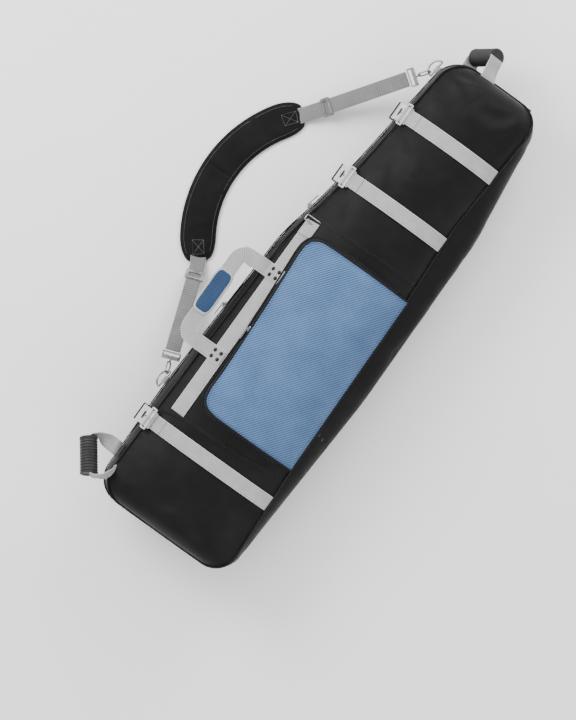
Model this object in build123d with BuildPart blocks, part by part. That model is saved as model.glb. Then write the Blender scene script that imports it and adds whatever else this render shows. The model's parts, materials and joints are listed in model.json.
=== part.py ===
from build123d import *
import os
from math import cos, radians, sin

os.makedirs("parts", exist_ok=True)

# Golf travel case, lying on its back panel. Millimetres.
# +X runs from the wheel end to the top end, +Y to the zipper side, +Z up through the front panel.
# The origin is on the back panel, halfway along the case.

# ---------------------------------------------------------------- the case
case_length = 1350.0
case_width = 416.0
end_radius = 62.0            # rounding of the ends, seen from the front
end_lift = 52.0              # rise of the back panel at the ends
end_drop = 28.0              # fall of the front seam at the ends
zip_height = 165.0           # main zipper above the back panel
seam_height = 212.0          # seam between gusset and front panel
crown_rise = 50.0            # front panel above its seam, in the middle
back_corner = 75.0           # rounding between back panel and gusset
shell_wall = 3.0
padding_wall = 6.0
cover_gap = 0.8              # between the two halves at the zipper
layer_gap = 0.4              # between sewn layers

# Outlines: share of half the length, share of the width from the centre line.
left_side = [(-1.0, 0.510), (-0.56, 0.519), (0.13, 0.474), (0.30, 0.413), (0.50, 0.361), (1.0, 0.269)]
right_side = [(-1.0, 0.413), (-0.20, 0.481), (0.50, 0.471), (1.0, 0.370)]
left_seam = [(-1.0, 0.481), (-0.56, 0.466), (0.13, 0.438), (0.30, 0.385), (0.50, 0.327), (1.0, 0.245)]
right_seam = [(-1.0, 0.404), (-0.56, 0.365), (0.13, 0.344), (0.50, 0.315), (1.0, 0.365)]
rise_along = [(-1.0, 0.55), (-0.40, 0.95), (0.13, 1.0), (0.70, 1.0), (1.0, 0.60)]
inner_stations = [-0.75, -0.56, -0.20, 0.13, 0.30, 0.50, 0.75]
end_angles = [0.0, 30.0, 60.0, 90.0]

# ---------------------------------------------------------------- webbing and trim
webbing_width = 38.0
webbing_wall = 2.2
tape_wall = 2.0
tape_height = 14.0
tape_end = -120.0            # the main zipper ends here, round both corners
piping_radius = 2.2
board_wall = 2.5
board_margin = 48.0          # board short of the wheel housings
board_gap = 2.0
tie_down_places = (-300.0, 300.0)

# ---------------------------------------------------------------- compression straps and buckles
strap_places = {"lower": -465.0, "middle": 285.0, "upper": 488.0}
buckle_width = 46.0
buckle_depth = 13.0
buckle_wall = 2.4
receiver_height = 36.0
receiver_stand = 3.4         # buckle off the side of the case
plug_plate = 5.0
prong_length = 26.0
prong_width = 6.0
prong_reach = 14.0           # middle of each prong from the middle of the buckle
plug_clearance = 1.5

# ---------------------------------------------------------------- side webbing, rivets, carry handle
strip_start = -414.0
strip_end = 150.0
strip_middle = 151.0         # centre line of the webbing strip
rivet_radius = 3.2
rivet_pitch = 17.0
handle_middle = -126.0
handle_span = 240.0          # between the legs' centre lines
handle_reach = 72.0
handle_pivot_y = 178.0
handle_pivot_z = 230.0
handle_corner = 30.0
rear_pivot_y = 214.0
rear_pivot_z = 116.0
rear_slope = 57.0
wrap_length = 114.0
wrap_width = 43.0
wrap_depth = 14.0
slot_clearance = 0.5
binding_wall = 1.6

# ---------------------------------------------------------------- pocket
pocket_start = -367.0
pocket_end = 121.0
pocket_left = 121.0
pocket_right = -140.0
pocket_corner = 34.0
pocket_puff = 40.0           # front of the pocket above the front panel
pocket_wall = 2.4
pocket_tape_reach = 6.0

# ---------------------------------------------------------------- wheels
wheel_x = -634.0
wheel_middle = 20.0          # the wheels sit either side of this line
wheel_track = 260.0
wheel_radius = 33.0
wheel_width = 24.0
hub_radius = 23.0
bearing_radius = 11.0
bearing_width = 7.0
axle_radius = 4.0
running_clearance = 0.05
wheel_height = 33.6          # axle above the back panel
well_clearance = 4.0
well_wall = 4.0
housing_reach = 158.0        # length of a wheel housing from the wheel end
housing_height = 78.0
housing_inner = 62.0         # inner edge of a housing from the middle line

# ---------------------------------------------------------------- end grab handles
grip_radius = 22.0
grip_length = 92.0
grip_ribs = 13
rib_depth = 1.2
grab_stand = 45.0            # grip from its hinge line
top_tab_places = [(22.0, 138.0), (56.0, 78.0)]
front_foot = (-614.0, 182.0)
front_foot_size = (38.0, 46.0)
side_foot = (-572.0, 224.0)
side_foot_size = (30.4, 36.0)
piping_break = (-636.0, -554.0)  # the piping stops under the bottom handle's feet

# ---------------------------------------------------------------- zipper sliders and pulls
slider_length = 16.0
slider_width = 14.0
slider_wall = 4.0
pull_length = 34.0
pull_width = 9.0
pull_wall = 2.4
bail_height = 4.0
slider_clearance = 1.7      # slider above the zipper tape, clear of the case's taper
bail_wall = 2.0
pin_radius = 1.0
pin_stand = 6.4             # pull's pin above the slider's base
pull_tail = 1.5             # pull behind its pin
pull_eye = 8.0              # hole at the far end of a pull
slider_margin = 3.0
upper_slider_x = 178.0
lower_slider_x = -136.0
pocket_slider_x = -150.0

# ---------------------------------------------------------------- shoulder strap
ring_wire = 2.25
ring_radius = 22.0
lower_ring = Vector(-369.0, 225.0, 128.0)
upper_ring = Vector(630.0, 126.0, 128.0)
tab_length = 18.0
tab_reach = 5.0
pad_centre = (136.0, 103.0)
pad_radius = 315.0
pad_width = 84.0
pad_wall = 12.0
pad_floor = 0.6
pad_start = 46.0
pad_stop = 134.0
strap_wall = 3.6
strap_low = 9.0              # strap above the floor at the pad
hook_wire = 2.0
hook_half = 7.0
hook_length = 25.0
post_radius = 3.0
post_length = 14.0
eye_length = 18.0
eye_width = 46.0
eye_wall = 6.0
adjuster_length = 22.0
adjuster_wall = 8.0
adjuster_places = {"upper": 296.0, "lower": 284.0}


def along(profile, place):
    """Value of an outline at a place along the case, straight between its points."""
    share = max(-1.0, min(1.0, 2 * place / case_length))
    for (low, low_value), (high, high_value) in zip(profile, profile[1:]):
        if share <= high:
            return low_value + (high_value - low_value) * (share - low) / (high - low)
    return profile[-1][1]


def side_left(place):
    """Distance of the zipper side from the centre line."""
    return case_width * along(left_side, place)


def seam_left(place):
    """Distance of the front panel's seam from the centre line, on the zipper side."""
    return case_width * along(left_seam, place)


def seam_right(place):
    """Distance of the front panel's seam from the centre line, on the hinge side."""
    return case_width * along(right_seam, place)


def case_stations(grow):
    """Places of the cross-sections, each with the turn of the end's rounding there."""
    straight = case_length / 2 - end_radius
    stations = [(share * case_length / 2, 0.0) for share in inner_stations]
    for end in (-1, 1):
        for angle in end_angles:
            stations.append((end * (straight + (end_radius + grow) * sin(radians(angle))), angle))
    return sorted(stations)


def section_points(place, angle, grow):
    """Corner points of one cross-section: sides, back corners, seams and the front's top."""
    turn = cos(radians(angle))
    inset = end_radius - (end_radius + grow) * turn
    left = side_left(place) - inset
    right = case_width * along(right_side, place) - inset
    seam_l = seam_left(place) - inset
    seam_r = seam_right(place) - inset
    corner = back_corner * (0.3 + 0.7 * turn)
    back = end_lift - (end_lift + grow) * turn
    seam = seam_height - end_drop + (end_drop + grow / 2) * turn
    rise = crown_rise * along(rise_along, place) * (0.2 + 0.8 * turn) + grow / 2 * turn
    return left, right, seam_l, seam_r, corner, back, seam, seam + rise / 0.75


def case_solid(grow):
    """The stuffed case as one closed solid, grown outwards by a distance."""
    with BuildPart() as body:
        for place, angle in case_stations(grow):
            left, right, seam_l, seam_r, corner, back, seam, top = section_points(place, angle, grow)
            low = back + 0.45 * (zip_height - back)
            high = zip_height + 0.6 * (seam - zip_height)
            with BuildSketch(Plane.YZ.offset(place)):
                with BuildLine():
                    Line((corner - right, back), (left - corner, back))
                    Bezier((left - corner, back), (left - 0.35 * corner, back), (left, low), (left, zip_height))
                    Bezier((left, zip_height), (left, high), (seam_l, seam))
                    Bezier((seam_l, seam), (0.6 * seam_l, top), (-0.6 * seam_r, top), (-seam_r, seam))
                    Bezier((-seam_r, seam), (-right, high), (-right, zip_height))
                    Bezier((-right, zip_height), (-right, low), (0.35 * corner - right, back), (corner - right, back))
                make_face()
        loft(ruled=True)
    return body.part


def case_layer(low, high):
    """A closed layer of the case between two distances from its outer face."""
    outer = case_solid(high)
    inner = case_solid(low)
    with BuildPart() as layer:
        add(outer)
        add(inner, mode=Mode.SUBTRACT)
    return layer.part


def span(low_x, high_x, low_y, high_y, low_z, high_z, mode=Mode.INTERSECT):
    """A box between two corners, combined with the part being built."""
    middle = ((low_x + high_x) / 2, (low_y + high_y) / 2, (low_z + high_z) / 2)
    with Locations(middle):
        Box(high_x - low_x, high_y - low_y, high_z - low_z, mode=mode)


def buckle_side(place):
    """Inner face of a buckle beside the case, clear of the taper along the buckle's width."""
    half = buckle_width / 2
    return max(side_left(place - half), side_left(place + half)) + receiver_stand


def save(part, name):
    """Label a finished piece and write it as its own file."""
    part.label = name
    export_step(part, f"parts/{name}.step")


far = case_length             # past every face of the case
outer_face = case_solid(0.0)
webbing_layer = case_layer(layer_gap, layer_gap + webbing_wall)
tape_layer = case_layer(layer_gap, layer_gap + tape_wall)

# ---------------------------------------------------------------- fabric shells and padding
shell_layer = case_layer(-shell_wall, 0.0)
padding_layer = case_layer(-shell_wall - layer_gap - padding_wall, -shell_wall - layer_gap)
housing_box_x = (-far, -case_length / 2 + housing_reach)
housing_sides = {"left": 1, "right": -1}


def clear_housings(gap):
    """Take the two wheel housings' corners, and a gap round them, out of the part being built."""
    for side in housing_sides.values():
        inner = wheel_middle + side * (housing_inner - gap)
        outer = wheel_middle + side * far
        low_y, high_y = min(inner, outer), max(inner, outer)
        span(housing_box_x[0], housing_box_x[1] + gap, low_y, high_y, -far, housing_height + gap, Mode.SUBTRACT)


with BuildPart() as back_shell:
    add(shell_layer)
    span(-far, far, -far, far, -far, zip_height - cover_gap / 2)
    clear_housings(layer_gap)
save(back_shell.part, "back_shell")

with BuildPart() as back_padding:
    add(padding_layer)
    span(-far, far, -far, far, -far, zip_height - cover_gap / 2)
    clear_housings(layer_gap)
save(back_padding.part, "back_padding")

with BuildPart() as front_shell:
    add(shell_layer)
    span(-far, far, -far, far, zip_height + cover_gap / 2, far)
save(front_shell.part, "front_shell")

with BuildPart() as front_padding:
    add(padding_layer)
    span(-far, far, -far, far, zip_height + cover_gap / 2, far)
save(front_padding.part, "front_padding")

board_base = shell_wall + padding_wall + 3 * layer_gap
board_half = case_length / 2 - housing_reach - board_margin
board_corners = [(-board_half, 1), (board_half, 1), (board_half, -1), (-board_half, -1)]


def board_edge(place, side):
    """Edge of the flat floor inside the case, on the zipper side (1) or the hinge side (-1)."""
    wall = side_left(place) if side > 0 else case_width * along(right_side, place)
    return side * (wall - back_corner - board_gap)


with BuildPart() as base_board:
    with BuildSketch(Plane.XY.offset(board_base)) as board_outline:
        with BuildLine():
            Polyline([(place, board_edge(place, side)) for place, side in board_corners], close=True)
        make_face()
        fillet(board_outline.vertices(), end_radius / 3)
    extrude(amount=board_wall)
save(base_board.part, "base_board")

# ---------------------------------------------------------------- main zipper, piping
for name, low_z, high_z in (
    ("zipper_tape_base", zip_height - tape_height, zip_height - cover_gap / 2),
    ("zipper_tape_cover", zip_height + cover_gap / 2, zip_height + tape_height),
):
    with BuildPart() as tape:
        add(tape_layer)
        span(-far, far, tape_end, far, low_z, high_z)
    save(tape.part, name)


def seam_points(offset):
    """The front seam as corner points, moved outwards, zipper side first and then back."""
    left_points = []
    right_points = []
    for place, angle in case_stations(offset):
        _, _, seam_l, seam_r, _, _, seam, _ = section_points(place, angle, offset)
        left_points.append(Vector(place, seam_l, seam + offset / 2))
        right_points.append(Vector(place, -seam_r, seam + offset / 2))
    return left_points + right_points[::-1]


piping_points = seam_points(piping_radius + layer_gap)
with BuildPart() as front_piping:
    for start, end in zip(piping_points, piping_points[1:] + piping_points[:1]):
        with BuildSketch(Plane(origin=start, z_dir=end - start)):
            Circle(piping_radius)
        extrude(amount=(end - start).length)
        with Locations(start):
            Sphere(piping_radius)
    add(outer_face, mode=Mode.SUBTRACT)
    for place in strap_places.values():
        strap_half = buckle_width / 2 + layer_gap
        span(place - strap_half, place + strap_half, -far, far, 0, far, Mode.SUBTRACT)
    span(*piping_break, 0, far, 0, far, Mode.SUBTRACT)
save(front_piping.part, "front_piping")

# ---------------------------------------------------------------- compression straps
for name, place in strap_places.items():
    with BuildPart() as strap:
        add(webbing_layer)
        half = webbing_width / 2
        span(place - half, place + half, 1.0 - seam_right(place), seam_left(place) - 4.0, seam_height, far)
    save(strap.part, f"compression_strap_{name}")

# ---------------------------------------------------------------- buckles: receivers on the base, plugs on the cover
with BuildPart() as buckle_receivers:
    for place in strap_places.values():
        side = buckle_side(place)
        low = zip_height - receiver_height
        top = zip_height - cover_gap
        half = buckle_width / 2
        span(place - half, place + half, side, side + buckle_depth, low, top, Mode.ADD)
        span(place - half + 6, place + half - 6, side, side + 5, low - 10, low, Mode.ADD)
        inner = half - buckle_wall
        span(place - inner, place + inner, side + buckle_wall, side + buckle_depth - buckle_wall,
             low + buckle_wall, far, Mode.SUBTRACT)
        span(place - half, place + half, side + buckle_wall + 1, side + buckle_depth - buckle_wall - 1,
             zip_height - prong_length, zip_height - prong_length / 3, Mode.SUBTRACT)
save(buckle_receivers.part, "buckle_receivers")

with BuildPart() as receiver_webbing:
    add(webbing_layer)
    span(-far, far, 0, far, zip_height - 3 * receiver_height, zip_height - tape_height - 1)
    with BuildSketch(Plane.XY) as stubs:
        with Locations([(place, far / 2) for place in strap_places.values()]):
            Rectangle(webbing_width - 8, far)
    extrude(amount=far, both=True, mode=Mode.INTERSECT)
save(receiver_webbing.part, "receiver_webbing")

with BuildPart() as buckle_plugs:
    for place in strap_places.values():
        side = buckle_side(place)
        seam = seam_left(place)
        low = zip_height + cover_gap
        half = buckle_width / 2 - 1
        with BuildSketch(Plane.YZ.offset(place - half)):
            with BuildLine():
                Polyline(
                    (side + 1, low), (side + 1, low + 22), (seam + 4, seam_height + 4),
                    (seam - 10, seam_height + 18), (seam - 10 + 0.7 * plug_plate, seam_height + 18 + 0.7 * plug_plate),
                    (seam + 4 + 0.9 * plug_plate, seam_height + 4 + 0.6 * plug_plate),
                    (side + 1 + plug_plate, low + 24), (side + 9, low + 9), (side + 9, low), close=True,
                )
            make_face()
        extrude(amount=2 * half)
        for arm in (-prong_reach, 0.0, prong_reach):
            arm_half = prong_width / 2
            span(place + arm - arm_half, place + arm + arm_half, side + buckle_wall + plug_clearance, side + 9,
                 zip_height - prong_length, low + 2, Mode.ADD)
        with Locations(Plane(origin=(place, seam + 2, seam_height + 5), z_dir=(0, 1, 1))):
            Box(webbing_width - 10, 4.0, 8 * plug_plate, mode=Mode.SUBTRACT)
save(buckle_plugs.part, "buckle_plugs")

# ---------------------------------------------------------------- side webbing strip and its rivets
with BuildPart() as side_webbing:
    add(webbing_layer)
    half = webbing_width / 2
    span(strip_start, strip_end, strip_middle - half, strip_middle + half, seam_height, far)
save(side_webbing.part, "side_webbing")

rivet_layer = case_layer(webbing_wall + 2 * layer_gap, webbing_wall + 2 * layer_gap + 1.6)
handle_legs = (handle_middle - handle_span / 2, handle_middle + handle_span / 2)
with BuildPart() as handle_rivets:
    add(rivet_layer)
    span(-far, far, 0, far, seam_height, far)
    with BuildSketch(Plane.XY) as rivet_plan:
        with Locations([(leg, strip_middle + 4) for leg in handle_legs]):
            with GridLocations(rivet_pitch, rivet_pitch, 2, 2):
                Circle(rivet_radius)
    extrude(amount=far, mode=Mode.INTERSECT)
save(handle_rivets.part, "handle_rivets")

# ---------------------------------------------------------------- carry handle
front_handle_plane = Plane(origin=(handle_middle, handle_pivot_y, handle_pivot_z), x_dir=(1, 0, 0), z_dir=(0, 0, 1))
rear_up = Vector(0, cos(radians(rear_slope)), sin(radians(rear_slope)))
rear_handle_plane = Plane(
    origin=(handle_middle, rear_pivot_y, rear_pivot_z), x_dir=(1, 0, 0), z_dir=Vector(1, 0, 0).cross(rear_up)
)


def handle_band(plane):
    """A loop of webbing cut as a flat band in a plane, its legs standing on the plane's X axis."""
    outer_width = handle_span + webbing_width
    outer_reach = handle_reach + webbing_width / 2
    inner_width = handle_span - webbing_width
    inner_reach = handle_reach - webbing_width / 2
    with BuildPart() as band:
        with BuildSketch(plane) as loop:
            with Locations((0, outer_reach / 2)):
                Rectangle(outer_width, outer_reach)
            far_corners = loop.vertices().sort_by(Axis(plane.origin, plane.y_dir))[-2:]
            fillet(far_corners, handle_corner)
            with Locations((0, inner_reach / 2)):
                Rectangle(inner_width, inner_reach, mode=Mode.SUBTRACT)
        extrude(amount=webbing_wall / 2, both=True)
    return band.part


save(handle_band(front_handle_plane), "front_handle_webbing")
save(handle_band(rear_handle_plane), "rear_handle_webbing")

wrap_y = handle_pivot_y + handle_reach
with BuildPart() as handle_wrap:
    with BuildSketch(Plane.XY.offset(handle_pivot_z - wrap_depth / 2)):
        with Locations((handle_middle, wrap_y)):
            RectangleRounded(wrap_length, wrap_width, wrap_width / 3)
    extrude(amount=wrap_depth)
    with Locations((handle_middle, wrap_y, handle_pivot_z)):
        Box(far, webbing_width + 2 * slot_clearance, webbing_wall + 2 * slot_clearance, mode=Mode.SUBTRACT)
save(handle_wrap.part, "handle_wrap")

with BuildPart() as handle_binding:
    with BuildSketch(Plane.XY.offset(handle_pivot_z - wrap_depth / 3)):
        with Locations((handle_middle, wrap_y)):
            RectangleRounded(wrap_length + 2 * binding_wall, wrap_width + 2 * binding_wall, wrap_width / 3 + binding_wall)
            RectangleRounded(wrap_length + 0.1, wrap_width + 0.1, wrap_width / 3, mode=Mode.SUBTRACT)
    extrude(amount=2 * wrap_depth / 3)
    with Locations((handle_middle, wrap_y, handle_pivot_z)):
        Box(far, webbing_width + 2 * slot_clearance, webbing_wall + 2 * slot_clearance, mode=Mode.SUBTRACT)
save(handle_binding.part, "handle_binding")

# ---------------------------------------------------------------- pocket
outline_size = (pocket_end - pocket_start, pocket_left - pocket_right)
outline_middle = ((pocket_start + pocket_end) / 2, (pocket_left + pocket_right) / 2)


def pocket_block(low, high, inset):
    """The case's layer between two growths, cut to the pocket's outline less an inset."""
    layer = case_layer(low, high)
    with BuildPart() as block:
        add(layer)
        with BuildSketch(Plane.XY.offset(seam_height)):
            with Locations(outline_middle):
                RectangleRounded(outline_size[0] - 2 * inset, outline_size[1] - 2 * inset, pocket_corner - inset)
        extrude(amount=far, mode=Mode.INTERSECT)
    return block.part


pocket_floor = 3 * layer_gap + tape_wall
pocket_hollow = pocket_block(pocket_floor - layer_gap, pocket_puff - pocket_wall, pocket_wall)
pocket_outside = pocket_block(pocket_floor, pocket_puff, 0.0)
with BuildPart() as pocket_shell:
    add(pocket_outside)
    add(pocket_hollow, mode=Mode.SUBTRACT)
save(pocket_shell.part, "pocket_shell")

piping_outside = pocket_block(pocket_puff - 4 * piping_radius, pocket_puff - 2 * piping_radius, -2 * piping_radius)
piping_inside = pocket_block(pocket_floor, pocket_puff, -layer_gap)
with BuildPart() as pocket_piping:
    add(piping_outside)
    add(piping_inside, mode=Mode.SUBTRACT)
save(pocket_piping.part, "pocket_piping")

tape_outside = pocket_block(layer_gap, layer_gap + tape_wall, -pocket_tape_reach)
tape_inside = pocket_block(0.0, pocket_puff, pocket_tape_reach)
with BuildPart() as pocket_zipper_tape:
    add(tape_outside)
    add(tape_inside, mode=Mode.SUBTRACT)
    span(-far, far, pocket_right + pocket_corner, far, 0, far)
save(pocket_zipper_tape.part, "pocket_zipper_tape")

# ---------------------------------------------------------------- wheels, axles and their housings
wheel_places = {
    side: (wheel_x, wheel_middle + sign * wheel_track / 2, wheel_height) for side, sign in housing_sides.items()
}
well_half = wheel_width / 2 + well_clearance
well_radius = wheel_radius + well_clearance
housing_skin = case_layer(-shell_wall, layer_gap)

for side, sign in housing_sides.items():
    place = wheel_places[side]
    across = Plane(origin=place, x_dir=(1, 0, 0), z_dir=(0, 1, 0))
    inner = wheel_middle + sign * housing_inner
    low_y, high_y = min(inner, sign * far), max(inner, sign * far)
    with BuildPart() as housing:
        add(housing_skin)
        span(-far, housing_box_x[1], low_y, high_y, -far, housing_height)
        with BuildSketch(across.offset(-well_half - well_wall)) as well_outline:
            Circle(well_radius + well_wall)
        extrude(amount=2 * (well_half + well_wall))
        add(outer_face, mode=Mode.INTERSECT)
        with BuildSketch(across.offset(-well_half)):
            Circle(well_radius)
        extrude(amount=2 * well_half, mode=Mode.SUBTRACT)
        with BuildSketch(Plane.XY.offset(-far)):
            with Locations((place[0] - well_radius, place[1])):
                Rectangle(2 * well_radius, 2 * well_half)
            with Locations(place[:2]):
                Rectangle(2 * well_radius, 2 * well_half)
        extrude(amount=far + wheel_height, mode=Mode.SUBTRACT)
        with BuildSketch(across.offset(-well_half - well_wall)):
            Circle(axle_radius)
        extrude(amount=2 * (well_half + well_wall), mode=Mode.SUBTRACT)
    save(housing.part, f"wheel_housing_{side}")

    half = wheel_width / 2
    with BuildPart() as tyre:
        with BuildSketch(across.offset(-half)):
            Circle(wheel_radius)
            Circle(hub_radius, mode=Mode.SUBTRACT)
        extrude(amount=wheel_width)
        fillet(tyre.edges().filter_by(GeomType.CIRCLE).group_by(SortBy.RADIUS)[-1], wheel_width / 4)
    save(tyre.part, f"wheel_{side}_tyre")

    with BuildPart() as hub:
        with BuildSketch(across.offset(-half)):
            Circle(hub_radius)
            Circle(bearing_radius, mode=Mode.SUBTRACT)
        extrude(amount=wheel_width)
        with BuildSketch(across.offset(bearing_width - half)):
            Circle(bearing_radius)
            Circle(bearing_radius - 2, mode=Mode.SUBTRACT)
        extrude(amount=wheel_width - 2 * bearing_width)
        for turn in range(5):
            angle = radians(72 * turn)
            middle = (hub_radius + bearing_radius) / 2
            with BuildSketch(across.offset(-half)):
                with Locations((middle * cos(angle), middle * sin(angle))):
                    Circle((hub_radius - bearing_radius) / 3)
            extrude(amount=wheel_width, mode=Mode.SUBTRACT)
    save(hub.part, f"wheel_{side}_hub")

    with BuildPart() as bearings:
        for start in (-half, half - bearing_width):
            with BuildSketch(across.offset(start)):
                Circle(bearing_radius)
                Circle(axle_radius, mode=Mode.SUBTRACT)
            extrude(amount=bearing_width)
    save(bearings.part, f"wheel_{side}_bearings")

with BuildPart() as wheel_axles:
    for place in wheel_places.values():
        with BuildSketch(Plane(origin=place, x_dir=(1, 0, 0), z_dir=(0, 1, 0)).offset(-well_half - well_wall)):
            Circle(axle_radius - running_clearance)
        extrude(amount=2 * (well_half + well_wall))
save(wheel_axles.part, "wheel_axles")

# ---------------------------------------------------------------- end grab handles
grabs = {
    "top": (Vector(722, 44, 135), Vector(-0.25, 0.45, -0.857), Vector(1, 0, 0)),
    "bottom": (Vector(-622, 264, 226), Vector(0.77, 0.58, -0.28), Vector(-0.55, 0.80, 0.05)),
}
for name, (middle, along_grip, outwards) in grabs.items():
    along_grip = along_grip.normalized()
    outwards = (outwards - along_grip * outwards.dot(along_grip)).normalized()
    hinge_point = middle - outwards * grab_stand
    loop_plane = Plane(origin=hinge_point, x_dir=outwards, z_dir=outwards.cross(along_grip))
    grip_plane = Plane(origin=middle, x_dir=outwards, z_dir=along_grip)

    with BuildPart() as grab_webbing:
        with BuildSketch(loop_plane):
            with BuildLine():
                leg = grip_length / 2 + 5
                Polyline((12, 2 - leg), (grab_stand - 8, -leg), (grab_stand, -leg + 3))
                Line((grab_stand, -leg + 3), (grab_stand, leg - 3))
                Polyline((grab_stand, leg - 3), (grab_stand - 8, leg), (12, leg - 2))
                offset(amount=webbing_wall / 2)
            make_face()
        extrude(amount=webbing_width / 2, both=True)
    save(grab_webbing.part, f"{name}_grab_webbing")

    with BuildPart() as grip:
        with BuildSketch(grip_plane.offset(-grip_length / 2)):
            Circle(grip_radius)
        extrude(amount=grip_length)
        pitch = grip_length / grip_ribs
        for rib in range(grip_ribs - 1):
            with BuildSketch(grip_plane.offset((rib + 1) * pitch - grip_length / 2 - pitch / 5)):
                Circle(grip_radius + 1)
                Circle(grip_radius - rib_depth, mode=Mode.SUBTRACT)
            extrude(amount=2 * pitch / 5, mode=Mode.SUBTRACT)
        with BuildSketch(grip_plane.offset(-grip_length / 2)):
            Rectangle(webbing_wall + 2 * slot_clearance, webbing_width + 2 * slot_clearance)
        extrude(amount=grip_length, mode=Mode.SUBTRACT)
    save(grip.part, f"{name}_grab_grip")

with BuildPart() as top_grab_tabs:
    add(webbing_layer)
    with BuildSketch(Plane.YZ.offset(case_length / 2 - end_radius)):
        with Locations(*top_tab_places):
            Rectangle(webbing_width, webbing_width * 0.6)
    extrude(amount=far, mode=Mode.INTERSECT)
save(top_grab_tabs.part, "top_grab_tabs")

with BuildPart() as bottom_grab_tabs:
    add(webbing_layer)
    with BuildSketch(Plane.XY.offset(zip_height + tape_height + 2)):
        with Locations(front_foot):
            Rectangle(*front_foot_size)
        with Locations(side_foot):
            Rectangle(*side_foot_size)
    extrude(amount=far, mode=Mode.INTERSECT)
save(bottom_grab_tabs.part, "bottom_grab_tabs")

# ---------------------------------------------------------------- zipper sliders and pulls
def slider_pair(name, origin, direction, outward, hang_side, pull_name):
    """A slider outside a zipper tape, and its pull lying along the zipper, one way (1) or the other (-1)."""
    plane = Plane(origin=origin, x_dir=direction, z_dir=outward)
    with BuildPart() as slider:
        with BuildSketch(plane):
            RectangleRounded(slider_length, slider_width, slider_width / 3)
        extrude(amount=slider_wall)
        bail = Plane(origin=plane.from_local_coords(Vector(0, 0, slider_wall)), x_dir=direction, z_dir=outward)
        with BuildSketch(bail):
            with GridLocations(1, pull_width + 1.5 * bail_wall, 1, 2):
                Rectangle(slider_length / 3, bail_wall)
        extrude(amount=bail_height)
        with BuildSketch(Plane(origin=plane.from_local_coords(Vector(0, 0, pin_stand)), z_dir=plane.y_dir)):
            Circle(pin_radius)
        extrude(amount=pull_width / 2 + bail_wall, both=True)
    save(slider.part, name)

    hole = plane.from_local_coords(Vector(0, 0, pin_stand))
    hang = Vector(*direction) * hang_side
    hang_plane = Plane(origin=hole, x_dir=plane.y_dir, z_dir=plane.y_dir.cross(hang))
    with BuildPart() as pull:
        with BuildSketch(hang_plane):
            with Locations((0, pull_length / 2 - pull_tail)):
                RectangleRounded(pull_width, pull_length, pull_width / 2.2)
            with Locations((0, pull_length - pull_eye)):
                Circle(pull_width / 4, mode=Mode.SUBTRACT)
        extrude(amount=pull_wall / 2, both=True)
        with BuildSketch(Plane(origin=hole, z_dir=plane.y_dir)):
            Circle(pin_radius + 2 * running_clearance)
        extrude(amount=pull_width, both=True, mode=Mode.SUBTRACT)
    save(pull.part, pull_name)


pull_sides = {"upper": 1, "lower": -1}
slider_stand = layer_gap + tape_wall + slider_clearance
for name, place in {"upper": upper_slider_x, "lower": lower_slider_x}.items():
    step = 20.0
    run = Vector(2 * step, side_left(place + step) - side_left(place - step), 0).normalized()
    out = Vector(0, 0, 1).cross(run)
    origin = Vector(place, side_left(place), zip_height) + out * slider_stand
    slider_pair(f"main_slider_{name}", origin, run, out, pull_sides[name], f"main_pull_{name}")


def front_height(place, across):
    """Height of the front panel over a small patch round a point."""
    with BuildPart() as patch:
        add(outer_face)
        span(place - 1, place + 1, across - 1, across + 1, seam_height, far)
    return patch.part.bounding_box().max.Z


pocket_slider_y = pocket_left + pocket_tape_reach - slider_wall / 2 + layer_gap
pocket_slider_z = front_height(pocket_slider_x, pocket_slider_y + slider_margin) + slider_width / 2 + 2 * slider_margin
slider_pair(
    "pocket_slider", Vector(pocket_slider_x, pocket_slider_y, pocket_slider_z), Vector(1, 0, 0), Vector(0, 1, 0),
    -1, "pocket_pull",
)

# ---------------------------------------------------------------- shoulder strap
swing = (upper_ring - lower_ring).normalized()


def pad_point(angle, radius=pad_radius):
    """A point on the shoulder pad's centre line."""
    return Vector(pad_centre[0] + radius * cos(radians(angle)), pad_centre[1] + radius * sin(radians(angle)), strap_low)


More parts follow.
